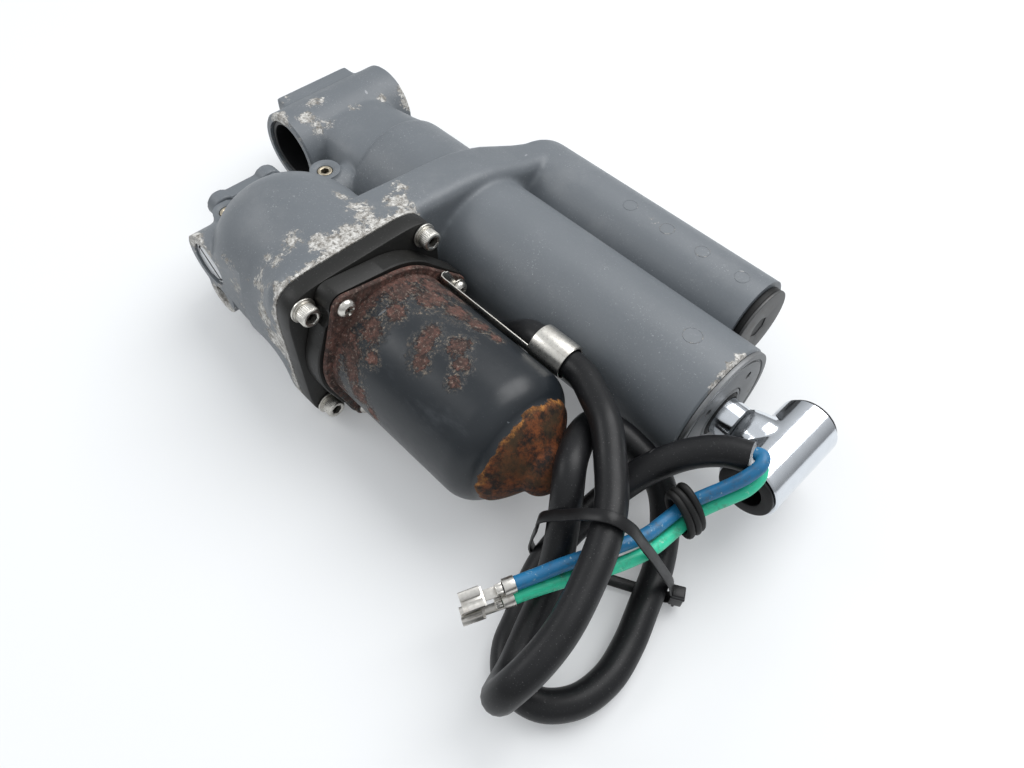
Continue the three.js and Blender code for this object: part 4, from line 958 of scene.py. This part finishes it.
def eye_neck():
    stations = [(2, 0), (2, neck_section(27, 19)), (22, neck_section(27, 20)),
                (44, neck_section(29.5, 22)), (60, neck_section(31, 25)), (70, neck_section(31, 25)),
                (70, 0)]
    return loft(stations, (3, 36), sides=96)


def leaning_back(y):
    """The back of the wall and of the reservoir leans forward with Y."""
    return 0.3 * (y - RESERVOIR[0]) if y > 28 else 0.3 * (28 - RESERVOIR[0])


def reservoir_body():
    start, edge = 112.7, 5
    profile = [(start, 0)]
    for step in range(9):
        angle = math.pi / 2 * step / 8
        profile.append((start + edge * (1 - math.cos(angle)), 24.6 - edge * (1 - math.sin(angle))))
    profile += [(135, 24.6), (279, 24.6), (279, 0)]
    shape = loft(profile, RESERVOIR, sides=96)
    for vertex in shape.verts:
        if vertex.co.x < 130:
            vertex.co.x += leaning_back(vertex.co.y)
    return shape


def bridge_wall():
    """The thick wall that ties the pump dome, the cylinder and the reservoir together."""
    under = [(-86, 3), (-20, 3), (0, 0.6), (24, 5), (57, 13.5)]
    beyond = [(67, 16), (76, 24), (80, 36.7), (76, 49.5), (67, 57.5)]
    top = [(57, 60.8), (45, 63.2), (34, 66.4), (23.5, 70.4), (12, 74.4), (1.6, 77.0), (-10, 78.6),
           (-22, 79.6), (-38, 81), (-52, 82.3), (-64, 83.2), (-86, 82)]
    return rounded_prism(under + beyond + top, 112.7, 134, 6, leaning_back)


def lobed_plate(start, end):
    shapes = [block((start, -100, 22), (end, -65, 57.5))]
    for y, z in ((-97, 52), (-68, 53), (-99, 26), (-66, 26)):
        shapes.append(rod(start, end, 7.5, (y, z), sides=40))
    return shapes


def casting_shapes():
    barrel = [(60, 0), (60, 31), (61.5, 34.5), (65, 36), (116, 36), (121, BARREL_RADIUS),
              (300, BARREL_RADIUS), (300, 0)]
    eye = [(EYE_NEAR_Y - 4, 0), (EYE_NEAR_Y - 4, 23.8), (EYE_FAR_Y + 4, 23.8), (EYE_FAR_Y + 4, 0)]
    shapes = [
        loft(barrel, CYLINDER, sides=128),
        loft(eye, LOWER_EYE, "Y", 96),
        block((-27.3, -22, 18), (-5, 30, 54)),
        eye_neck(),
        reservoir_body(),
        bridge_wall(),
        block((124, 26, 27), (276, 42, 45.5)),
        pump_dome(),
        flange_flare(),
        rod(-128, -95, 17, VALVE, "Y", 64),
        rod(-128, -100, 11, SPARE_PORT, "Y", 48),
        block((50, -128, 21), (70, -100, 43)),
        rod(-86, -8, 13, (52, 38), "Y", 64),
    ]
    shapes += lobed_plate(37.3, 56)
    for x, y, top, radius in GALLERY_PLUGS:
        shapes.append(rod(28, top + 3, radius, (x, y), "Z", 48))
    return shapes


def beside_cylinder(turn):
    """Round the reservoir's axis, but clear of the cylinder beside it."""
    offset = Vector((RESERVOIR[0] - CYLINDER[0], RESERVOIR[1] - CYLINDER[1]))
    ray = Vector((math.cos(turn), math.sin(turn)))
    towards = -offset.dot(ray)
    inside = towards ** 2 - offset.length_squared + (BARREL_RADIUS + 0.05) ** 2
    if towards <= 0 or inside <= 0:
        return 28.0
    return min(28.0, towards - math.sqrt(inside))


def casting_cutters():
    square = bulged_square(47.6, 8)
    cutters = [
        loft([(74, 0), (74, 36), (FLANGE_X, 36), (FLANGE_X, square), (150, square), (150, 0)], MOTOR,
             sides=128),
        loft([(66, 0), (66, 28), (BARREL_END_X, 28), (BARREL_END_X, 33.6), (294.5, 35), (294.5, 50),
              (310, 50), (310, 0)], CYLINDER, sides=128),
        loft([(130, 0), (130, 20), (RESERVOIR_END_X, 20), (RESERVOIR_END_X, beside_cylinder),
              (290, beside_cylinder), (290, 0)], RESERVOIR, sides=128),
        loft([(-50, 0), (-50, 32), (EYE_NEAR_Y + 1.2, 32), (EYE_NEAR_Y + 1.2, 23.9), (EYE_NEAR_Y, 22.7),
              (EYE_NEAR_Y, 19.5), (EYE_FAR_Y, 19.5), (EYE_FAR_Y, 22.7), (EYE_FAR_Y - 1.2, 23.9),
              (EYE_FAR_Y - 1.2, 40), (56, 40), (56, 0)], LOWER_EYE, "Y", 96),
        loft([(-140, 0), (-140, 45), (VALVE_FACE_Y, 45), (VALVE_FACE_Y, 12.2), (-116, 12.2), (-116, 6.4),
              (-98, 6.4), (-98, 0)], VALVE, "Y", 96),
        rod(-130, -111, 5.5, SPARE_PORT, "Y", 48),
    ]
    for x, y, top, radius in GALLERY_PLUGS:
        cutters.append(loft([(top - 12, 0), (top - 12, 4.6), (top - 1, 4.6), (top, 5.8),
                             (top, radius + 1), (top + 5, radius + 1), (top + 5, 0)], (x, y), "Z", 48))
    for side, height in ((-1, -1), (-1, 1), (1, -1), (1, 1)):
        cutters.append(rod(127, 138, 3.4, cap_screw_place(side, height)))
    return cutters


# Paint is worn through round these points: place, reach in mm, strength. The scale makes all of them
# wider and stronger together.
WEAR_SCALE = 1.25
WORN_PLACES = [
    ((8, -24, 58), 6, 0.6), ((15, -23, 54), 6, 0.6), ((17, -13, 53), 5, 0.6),
    ((21, -10, 47), 6, 0.55), ((15, 7, 54), 5, 0.5), ((23, -15, 43), 6, 0.5), ((18, 37, 52), 6, 0.5),
    ((16, 26, 53), 5, 0.45), ((21, 40, 47), 6, 0.5), ((-1, -10, 60), 7, 0.5), ((-4, -34, 60), 7, 0.5),
    ((-24, -20, 52), 8, 0.4), ((102, -65, 82), 7, 0.5), ((115, -65, 82), 8, 0.6),
    ((124, -66, 83), 8, 0.6), ((111, -50, 69), 6, 0.5), ((113, -101, 85), 6, 0.55),
    ((117, -102, 85), 6, 0.5), ((129, -88, 88), 8, 0.55), ((127, -94, 87), 8, 0.5),
    ((129, -81, 87), 7, 0.55), ((118, -110, 80), 7, 0.6), ((111, -113, 78), 6, 0.5),
    ((112, -119, 73), 6, 0.5), ((121, -127, 59), 9, 0.55), ((125, -130, 48), 9, 0.55),
    ((116, -40, 80), 7, 0.5), ((122, -47, 82), 8, 0.6), ((60, -92, 80), 5, 0.35),
    ((134, -126, 14), 14, 0.4), ((45, -100, 58), 9, 0.4), ((46, -40, 53), 9, 0.35),
    ((50, -124, 58), 9, 0.5), ((58, -124, 12), 9, 0.45), ((295, 6, 70), 4, 0.6),
    ((295, -1, 71), 4, 0.6), ((294, -7, 70), 4, 0.6), ((296, -13, 68), 4, 0.5),
    ((205, 55, 61), 12, 0.2), ((128, 8, 76), 8, 0.3), ((250, 33, 48), 12, 0.2),
    ((36, -20, 56), 10, 0.25),
]


def wear_values(points):
    """How worn the paint is at each point, from 0 to about 1."""
    x, y, z = points[:, 0], points[:, 1], points[:, 2]
    worn = np.zeros(len(points))
    for place, reach, strength in WORN_PLACES:
        away = np.linalg.norm(points - np.array(place), axis=1)
        fading = np.exp(-(away / (WEAR_SCALE * reach)) ** 2)
        worn = np.maximum(worn, WEAR_SCALE * strength * fading)
    from_motor = np.hypot(y - MOTOR[0], z - MOTOR[1])
    flange = (from_motor > 37) & (x > 100) & (y < -40)
    behind = FLANGE_X - x
    above = np.where(z > 30, 0.42, 0.1)
    worn += flange * (0.34 * np.exp(-(behind / 2.5) ** 2) + above * np.exp(-(behind / 8) ** 2))
    eye = np.abs(x) < 30
    worn += eye * 0.4 * np.exp(-((y - EYE_NEAR_Y) / 2.5) ** 2)
    worn += eye * 0.34 * np.exp(-((y - EYE_FAR_Y) / 2.5) ** 2)
    worn += (y < -100) * 0.4 * np.exp(-((y - VALVE_FACE_Y) / 2) ** 2)
    worn += 0.22 * np.exp(-((x - BARREL_END_X) / 1.6) ** 2)
    worn += (y > 36) * 0.26 * np.exp(-((x - RESERVOIR_END_X) / 1.6) ** 2)
    return np.clip(worn, 0, 1.1)


def make_casting():
    casting = drawn_object("casting_body", casting_shapes())
    fused(casting, 1.25, 9)
    carved(casting, casting_cutters())
    paint_values(casting, "wear", wear_values)
    as_piece(casting, GREY, stands_for=["main_housing"], crease=40)
    cover = drawn_object("valve_cover", lobed_plate(28.8, 37))
    fused(cover, 0.7, 3)
    paint_values(cover, "wear", everywhere(0.12))
    as_piece(cover, GREY, stands_for=["rear_cover"], crease=40)


def surface_circle(centre_x, centre_angle, axis, axis_radius, radius):
    """A fine raised ring lying on a cylinder's skin, as an ejector pin leaves."""
    loop = []
    for step in range(40):
        turn = 2 * math.pi * step / 40
        angle = centre_angle + radius * math.sin(turn) / axis_radius
        loop.append(Vector((
            centre_x + radius * math.cos(turn),
            axis[0] + (axis_radius + 0.02) * math.cos(angle),
            axis[1] + (axis_radius + 0.02) * math.sin(angle))))
    return tube_ring(loop, 0.22, 6)


def make_mould_marks():
    upright = math.pi / 2
    shapes = [surface_circle(272.6, upright - 0.01, CYLINDER, BARREL_RADIUS - 0.1, 4.6)]
    for x in (190, 215, 238, 262.6):
        shapes.append(surface_circle(x, upright + 0.03, RESERVOIR, 24.5, 3.9))
    marks = make("mould_marks", shapes, GREY)
    paint_values(marks, "wear", everywhere(0.45))


make_casting()
make_mould_marks()


# ---------------------------------------------------------------- eye bushings, valve and plugs

def make_lower_bushings():
    for name, node, start, end in (
            ("bushing_near", "lower_bushing_near", EYE_NEAR_Y + 1.5, EYE_NEAR_Y + 25.5),
            ("bushing_far", "lower_bushing_far", EYE_FAR_Y - 25.5, EYE_FAR_Y - 1.5)):
        make(name, [tube(start, end, 16.3, 19.1, 0.8, LOWER_EYE, "Y")], PLASTIC_BLACK,
             stands_for=[node])


def make_release_valve():
    profile = rounded([(-123, 0), (-123, 9.4), (-122.2, 10.2), (-116.8, 10.2), (-116.8, 6), (-103, 6),
                       (-99, 1.2), (-99, 0)], 0.4)
    valve = drawn_object("valve_screw", [loft(profile, VALVE, "Y", 72)])
    turn = Matrix.Translation((VALVE[0], -123, VALVE[1])) @ Matrix.Rotation(math.radians(48), 4, "Y")
    carved(valve, [moved(block((-11, -2.4, -1.1), (11, 2.4, 1.1)), turn)])
    as_piece(valve, STEEL, "release_valve", ["release_valve"])


def make_valve_ring():
    """A wire retaining ring with a gap."""
    points = []
    for step in range(61):
        turn = math.radians(-75 + 330 * step / 60)
        x, z = VALVE[0] + 11.2 * math.cos(turn), VALVE[1] + 11.2 * math.sin(turn)
        points.append(Vector((x, -122.2, z)))
    make("retaining_ring", [band(points, (0, 1, 0), lambda step: (0.6, 0.65))], STEEL,
         stands_for=["release_valve_ring"])


def make_gallery_plugs():
    for index, (x, y, top) in enumerate((plug[:3] for plug in GALLERY_PLUGS), start=1):
        socket = hexagon(4.4)
        stations = rounded([(top - 10, 0), (top - 10, 4.2), (top - 0.8, 4.2), (top - 0.8, 2.9)], 0.5)
        stations += [(top - 1.1, socket), (top - 5, socket), (top - 5.6, 0)]
        # painted shade: the plug's hex socket is darkened below its mouth
        socket_shade = in_hole((x, y), 2.7, top - 1.5, "Z")
        make(f"hex_plug_{index}", [loft(stations, (x, y), "Z", 48)], BRASS,
             stands_for=[f"gallery_plug_{index}"], dirt_and_shade=socket_shade)


def make_reservoir_plug():
    start = RESERVOIR_END_X + 0.3
    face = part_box("reservoir_plug")[1].x * 1000 + CENTRE_X
    rubber = rounded([(start - 14, 0), (start - 14, 19.6), (start - 7.2, 19.6), (start - 7.2, 17.2),
                      (start - 3.8, 17.2), (start - 3.8, 19.6), (start, 19.6), (start, 21.6),
                      (face - 1.4, 21.6), (face - 1.4, 0)], 0.5)
    make("reservoir_stopper", [loft(rubber, RESERVOIR, sides=96)], SEAL_BLACK,
         stands_for=["reservoir_plug"])
    socket = hexagon(11)
    disc = rounded([(face - 1.5, 0), (face - 1.5, 21.7), (face, 21.7), (face, 7.2)], 0.5)
    disc += [(face - 0.4, socket), (face - 0.9, socket), (face - 1.2, 0)]
    make("reservoir_disc", [loft(disc, RESERVOIR, sides=96)], DARK_ALLOY)
    # painted shade: a thin black hexagon at the bottom of the disc's socket stands in for the shade
    # inside it
    hole = [(face - 1.1, 0), (face - 1.1, hexagon(10.9)), (face - 0.85, hexagon(10.9)), (face - 0.85, 0)]
    make("reservoir_socket_shade", [loft(hole, RESERVOIR, sides=48)], SEAL_BLACK)


make_lower_bushings()
make_release_valve()
make_valve_ring()
make_gallery_plugs()
make_reservoir_plug()


# ---------------------------------------------------------------- cylinder end and rod

def make_end_cap():
    outer = [(268, 10.3), (268, 27.7), (275, 27.7), (275, 25.2), (279, 25.2), (279, 27.7), (296.1, 27.7),
             (296.1, 34.1), (CAP_FACE_X, 34.1), (CAP_FACE_X, 30.9), (CAP_FACE_X - 0.9, 30.8),
             (CAP_FACE_X - 0.9, 29.7), (CAP_FACE_X, 29.6), (CAP_FACE_X, 14.7), (291.3, 14.6),
             (291.3, 10.3)]
    profile = rounded_loop(outer, 0.5, 2)
    cap = drawn_object("cylinder_cap", [loft(profile, CYLINDER, sides=128, hollow=True)])
    holes = []
    for angle in (45, 135, 225, 315):
        turn = math.radians(angle)
        centre = (CYLINDER[0] + 22 * math.cos(turn), CYLINDER[1] + 22 * math.sin(turn))
        holes.append(rod(294, 300, 2.1, centre))
    carved(cap, holes)
    as_piece(cap, ALLOY, stands_for=["end_cap"])


def make_rod_wiper():
    profile = rounded_loop([(291.7, 10.3), (291.7, 12.3), (CAP_FACE_X - 0.6, 12.3),
                            (CAP_FACE_X + 0.9, 11.2), (CAP_FACE_X + 0.9, 10.3)], 0.3)
    make("wiper_lip", [loft(profile, CYLINDER, sides=72, hollow=True)], SEAL_BLACK,
         stands_for=["rod_wiper"])
    holder = rounded_loop([(291.7, 12.4), (291.7, 14.3), (CAP_FACE_X - 0.5, 14.3),
                           (CAP_FACE_X + 0.2, 13.6), (CAP_FACE_X + 0.2, 12.4)], 0.3)
    make("wiper_holder", [loft(holder, CYLINDER, sides=72, hollow=True)], ALLOY)


def rolled_about_rod(shape):
    """Turns a shape drawn level about the cylinder's axis by the eye's small roll."""
    lift = Matrix.Translation((0, *CYLINDER))
    return moved(shape, lift @ Matrix.Rotation(EYE_ROLL, 4, "X") @ lift.inverted())


def make_rod():
    """The chromed rod, and the eye forged to its end with a fillet between them."""
    start = CAP_FACE_X + 8
    eye = rolled_about_rod(rod(-28, 28, 15, ROD_EYE, "Y", 96))
    neck = loft([(start, 0), (start, 9.9), (start + 3, 10.0), (310, 11.2), (315, 12.6), (320, 13.6),
                 (328, 13.8), (328, 0)], CYLINDER, sides=96)
    forging = drawn_object("rod_eye", [neck, eye])
    fused(forging, 0.6, 8)
    bore = rolled_about_rod(loft(
        [(-40, 0), (-40, 20), (-24.2, 20), (-24.2, 15.1), (-25, 14.2), (-25, 12), (25, 12), (25, 14.2),
         (24.2, 15.1), (24.2, 20), (40, 20), (40, 0)], ROD_EYE, "Y", 96))
    carved(forging, [bore])
    as_piece(forging, CHROME, "rod", crease=40)
    profile = rounded([(75, 0), (75, 5.7), (102, 5.7), (102, 9), (107, 10), (start + 2, 10),
                       (start + 2.6, 9.6), (start + 2.6, 0)], 0.4)
    make("rod_shaft", [loft(profile, CYLINDER, sides=96)], CHROME, "rod", ["piston_rod"])


def make_rod_bushings():
    for side, name, node in ((-1, "eye_bushing_near", "rod_bushing_near"),
                             (1, "eye_bushing_far", "rod_bushing_far")):
        profile = rounded_loop([(5.3, 8), (5.3, 11.7), (25.3, 11.7), (25.3, 13.6), (26.9, 13.6),
                                (26.9, 8)], 0.5)
        stations = [(side * along, radius) for along, radius in profile]
        shape = rolled_about_rod(loft(stations, ROD_EYE, "Y", 72, hollow=True))
        make(name, [shape], PLASTIC_BLACK, "rod", [node])


make_end_cap()
make_rod_wiper()
make_rod()
make_rod_bushings()


# ---------------------------------------------------------------- motor

def make_adapter_plate():
    inset, full = bulged_square(42.8), bulged_square(43.6)
    middle = bulged_square(43.4)
    stations = [(131, 30), (131, 35.6), (137.3, 35.6), (137.3, inset), (137.6, middle), (138.1, full),
                (146.4, full), (147.0, middle), (PLATE_END_X, inset), (PLATE_END_X, 11), (136.2, 11),
                (136.2, 30)]
    make("flange_plate", [loft(stations, MOTOR, sides=160, hollow=True)], PLATE_BLACK,
         stands_for=["adapter_plate"])


def make_cap_screws():
    for index, (side, height) in enumerate(((1, 1), (-1, 1), (-1, -1), (1, -1)), start=1):
        centre = cap_screw_place(side, height)
        base = HEAD_X + 1.5
        washer = disc(HEAD_X, HEAD_X + 0.9, 6.3, 0.25, centre)
        spring = disc(HEAD_X + 0.9, base, 5.4, 0.15, centre)
        grip = knurled(5.0, 0.28, 36)
        socket = hexagon(5)
        stations = [(base, 0), (base, 4.6), (base + 0.3, 4.8), (base + 0.6, grip), (base + 5.0, grip),
                    (base + 5.4, 4.75), (base + 5.8, 4.4), (base + 6, 3.9), (base + 6, 3.3),
                    (base + 5.6, socket), (base + 2.6, socket), (base + 2.0, 0)]
        head = loft(stations, centre, sides=216)
        shank = loft([(129, 0), (129, 2.6), (129.6, 3), (HEAD_X + 0.5, 3), (HEAD_X + 0.5, 0)], centre,
                     sides=32)
        # painted shade: each head's hex socket is darkened below its mouth
        make(f"cap_bolt_{index}", [washer, spring, head, shank], STAINLESS,
             stands_for=[f"cap_screw_{index}"], dirt_and_shade=in_hole(centre, 3.2, base + 5.3))


def make_end_head():
    outer = without_screw_heads(eared(40.6, 6.7, [(GROMMET_ANGLE, 8.4)]), 6.8)
    inner = without_screw_heads(eared(40.1, 6.3, [(GROMMET_ANGLE, 8.0)]), 7.3)
    stations = [(HEAD_X, inner), (HEAD_X + 0.5, outer), (HEAD_X + 9.7, outer), (158, inner), (158, 32),
                (153.6, 32), (153.6, 11), (HEAD_X, 11)]
    make("end_head_casting", [loft(stations, MOTOR, sides=360, hollow=True)], PLATE_BLACK,
         stands_for=["motor_end_head"])


def can_rim():
    """The turned-out edge of the can with its screw ears, notched for the grommet."""
    plain = eared(38.6, 6.0)

    def notched(turn):
        away = signed_angle(turn, GROMMET_ANGLE)
        side = EAR_DISTANCE * math.sin(away)
        if abs(away) > 1 or abs(side) >= NOTCH_RADIUS:
            return plain(turn)
        notch = EAR_DISTANCE * math.cos(away) - math.sqrt(NOTCH_RADIUS ** 2 - side ** 2)
        return min(plain(turn), notch + 0.01)

    def inset(turn):
        return notched(turn) - 0.45
    stations = [(RIM_X, inset), (RIM_X + 0.4, notched), (RIM_END_X - 0.5, notched), (RIM_END_X, inset),
                (RIM_END_X, 34.5), (RIM_X, 34.5)]
    return loft(stations, MOTOR, sides=360, hollow=True)


def can_body():
    inside = [(270.5, 0), (270.5, 7.5), (261, 7.5), (259, 13), (250, 25.6), (243, 31.4), (236, 33),
              (RIM_X, 33)]
    shoulder = [(RIM_X, CAN_RADIUS)]
    for step in range(9):
        angle = math.radians(58) * step / 8
        shoulder.append((238 + 15 * math.sin(angle), CAN_RADIUS - 15 * (1 - math.cos(angle))))
    end = [(252.4, 27.3), (253.6, 26.7), (255.2, 25.0), (257.4, 22.2), (260, 18.4), (262.4, 14.6),
           (264.2, 12.7), (268.6, 11.9), (271.6, 9.6), (273.6, 6.4), (274.5, 3.6), (274.5, 0)]
    stations = inside + shoulder + rounded(end, 2.2, 3)
    fine = []
    for (x0, r0), (x1, r1) in zip(stations, stations[1:]):
        pieces = max(1, round(abs(x1 - x0) / 1.6)) if min(r0, r1) > 0 else 1
        for step in range(pieces):
            share = step / pieces
            fine.append((x0 + (x1 - x0) * share, r0 + (r1 - r0) * share))
    fine.append(stations[-1])
    return loft(fine, MOTOR, sides=160)


# Rust breaks out round these points of the can: place and reach in mm.
RUST_PLACES = [
    ((182, -112, 68), 4.5), ((199, -94, 78), 6), ((203, -101, 76), 5.5), ((196, -88, 79), 5),
    ((210, -85, 79), 6.5), ((218, -90, 79), 5), ((222, -98, 77), 4), ((167, -112, 68), 8),
    ((168, -82, 79), 9), ((172, -66, 73), 9), ((170, -115, 64), 8), ((174, -118, 57), 8),
    ((180, -121, 48), 7), ((190, -122, 42), 5), ((174, -104, 74), 7), ((176, -92, 78), 6),
    ((180, -74, 77), 9), ((192, -70, 76), 8), ((204, -67, 74), 6), ((214, -66, 73), 4),
    ((178, -60, 66), 8), ((166, -120, 40), 6),
]


def rust_values(points):
    """How far inside a rusty patch each point is: 1 in its middle, 0 at its edge, below 0 outside."""
    rust = np.full(len(points), -1.0)
    for place, reach in RUST_PLACES:
        away = np.linalg.norm(points - np.array(place), axis=1)
        rust = np.maximum(rust, 1 - away / reach)
    behind_rim = 1 - np.abs(points[:, 0] - RIM_END_X) / 7
    rust = np.maximum(rust, np.where(points[:, 2] > 30, behind_rim, behind_rim - 0.6))
    return np.clip(rust, -1, 1)


def end_values(points):
    """How far inside the bare rusty ring at the can's closed end: 0 on its border, 1 ten mm inside."""
    from_axis = np.hypot(points[:, 1] - MOTOR[0], points[:, 2] - MOTOR[1])
    return np.where(points[:, 0] > 246, np.clip((27.8 - from_axis) / 10, -1, 2), -1)


def make_can():
    can = drawn_object("can_shell", [can_body(), can_rim()])
    paint_values(can, "rust", rust_values)
    paint_values(can, "orange", end_values)
    as_piece(can, CAN, stands_for=["motor_can"])


def make_ear_screws():
    for index, angle in enumerate(EAR_ANGLES, start=1):
        centre = around_motor(angle, EAR_DISTANCE)
        seat = RIM_END_X + 0.3 + (1.3 if index == 2 else 0)
        wide, narrow = cross(2.5, 0.62), cross(1.5, 0.4)
        stations = [(150.6, 0), (150.6, 2.5), (seat, 2.5), (seat, 4.4), (seat + 0.3, 4.5),
                    (seat + 1.1, 4.45), (seat + 1.9, 4.1), (seat + 2.6, 3.4), (seat + 3.0, 2.7),
                    (seat + 3.1, 2.6), (seat + 3.0, wide), (seat + 1.6, narrow), (seat + 1.3, 0)]
        # painted shade: each cross recess is darkened below its mouth
        make(f"ear_bolt_{index}", [loft(stations, centre, sides=96)], STAINLESS,
             stands_for=[f"ear_screw_{index}"], dirt_and_shade=in_hole(centre, 2.4, seat + 2.0))


def make_grommet():
    start = 158.3
    stations = rounded([(start, 0), (start, 7.7), (start + 2.6, 7.7), (start + 3.2, 7.0),
                        (start + 4.2, 7.0), (start + 4.8, 7.7), (start + 8.5, 7.6), (start + 14, 7.1),
                        (start + 14, 0)], 0.4)
    make("cable_boot", [loft(stations, around_motor(GROMMET_ANGLE, EAR_DISTANCE), sides=64)], SEAL_BLACK,
         stands_for=["cable_grommet"])


def make_clip():
    """A stainless strip bent from a foot under an ear screw, along the can, to a rolled band."""
    foot_x = RIM_END_X + 0.3
    foot_y, foot_z = around_motor(EAR_ANGLES[1], EAR_DISTANCE)
    washer = tube(foot_x, foot_x + 1, 2.9, 5, 0.2, (foot_y, foot_z), sides=48)
    tab = bevelled(prism([(foot_y - 4.2, foot_z - 2.4), (foot_y - 0.4, foot_z + 4.4), (-48.6, 63.2),
                          (-52.4, 64.4), (-54, 62.6), (-53.6, 59.4)], foot_x, foot_x + 0.9), 0.25)
    bend = [(161.6, -50.5), (161.7, -52.2), (162.6, -53.5), (164.5, -53.9), (168, -53.9), (222, -53.9)]
    arm = band(smooth_route([(x, y, 62) for x, y in bend], 90), (0, 0, 1), lambda step: (2.4, 0.38))
    sleeve = tube(222, 241, 7.7, 8.4, 0.2, (BAND_Y, BAND_Z))
    lap = []
    for step in range(25):
        turn = math.radians(20 + 95 * step / 24)
        reach = 8.75 - 0.3 * step / 24
        lap.append(Vector((231.5, BAND_Y + reach * math.cos(turn), BAND_Z + reach * math.sin(turn))))
    flap = band(lap, (1, 0, 0), lambda step: (9.2, 0.3))
    make("clip_strip", [washer, tab, arm, sleeve, flap], STAINLESS, stands_for=["cable_clip"])


make_adapter_plate()
make_cap_screws()
make_end_head()
make_can()
make_ear_screws()
make_grommet()
make_clip()


# ---------------------------------------------------------------- carried-over inner pieces

INNER_FINISHES = {
    "steel": STEEL, "aluminium": ALLOY, "rubber": SEAL_BLACK, "brass": BRASS, "bronze": BRONZE,
    "copper": COPPER, "carbon": CARBON, "ferrite": FERRITE, "black_plastic": PLASTIC_BLACK,
    "stainless": STAINLESS, "chrome": CHROME, "grey_paint": GREY, "black_paint": PLATE_BLACK,
    "blue_plastic": BLUE, "green_plastic": GREEN,
}


def finish_inner_pieces():
    slots = {part["node"]: part["material_slot"] for part in frame["record"]["subparts"]}
    for name, node in frame["nodes"].items():
        if node.hide_render:
            continue
        node.data.materials.clear()
        node.data.materials.append(INNER_FINISHES[slots[name]])


finish_inner_pieces()


# ---------------------------------------------------------------- floor and light

def make_floor():
    mesh = bpy.data.meshes.new("floor")
    reach = 4.0
    mesh.from_pydata([(-reach, -reach, 0), (reach, -reach, 0), (reach, reach, 0), (-reach, reach, 0)], [],
                     [(0, 1, 2, 3)])
    floor = placed("floor", mesh)
    floor.location.z = -0.0006
    paint = Paint("floor_white")
    paint.colour(paint.mix(paint.noise(3, 2), (0.615, 0.625, 0.632), (0.635, 0.645, 0.652)))
    paint.shade("Emission Color", (0.97, 0.985, 1.0))
    paint.shade("Emission Strength", 0.19)
    paint.roughness(0.7)
    mesh.materials.append(paint.material)


def make_area_light(name, place, size, power):
    """A square light that faces the middle of the floor."""
    data = bpy.data.lights.new(name, "AREA")
    data.size = size
    data.energy = power
    light = placed(name, data)
    light.location = place
    light.rotation_euler = (-Vector(place)).to_track_quat("-Z", "Y").to_euler()


def make_light():
    """A pale sky that is brighter overhead, and two soft lights."""
    world = bpy.data.worlds.new("studio")
    bpy.context.scene.world = world
    world.use_nodes = True
    tree = world.node_tree
    direction = tree.nodes.new("ShaderNodeTexCoord").outputs["Generated"]
    split = tree.nodes.new("ShaderNodeSeparateXYZ")
    tree.links.new(direction, split.inputs[0])
    brighter = tree.nodes.new("ShaderNodeMapRange")
    brighter.interpolation_type = "SMOOTHSTEP"
    for name, value in (("From Min", -0.1), ("From Max", 0.8), ("To Min", 0.3), ("To Max", 0.82)):
        brighter.inputs[name].default_value = value
    tree.links.new(split.outputs["Z"], brighter.inputs["Value"])
    background = tree.nodes["Background"]
    background.inputs["Color"].default_value = (0.95, 0.975, 1.0, 1)
    tree.links.new(brighter.outputs["Result"], background.inputs["Strength"])
    make_area_light("overhead", (0.15, 0.75, 1.25), 1.2, 17)
    make_area_light("left_softbox", (-0.9, -0.6, 0.9), 0.5, 3)
    bpy.context.scene.view_settings.view_transform = "Standard"


make_floor()
make_light()
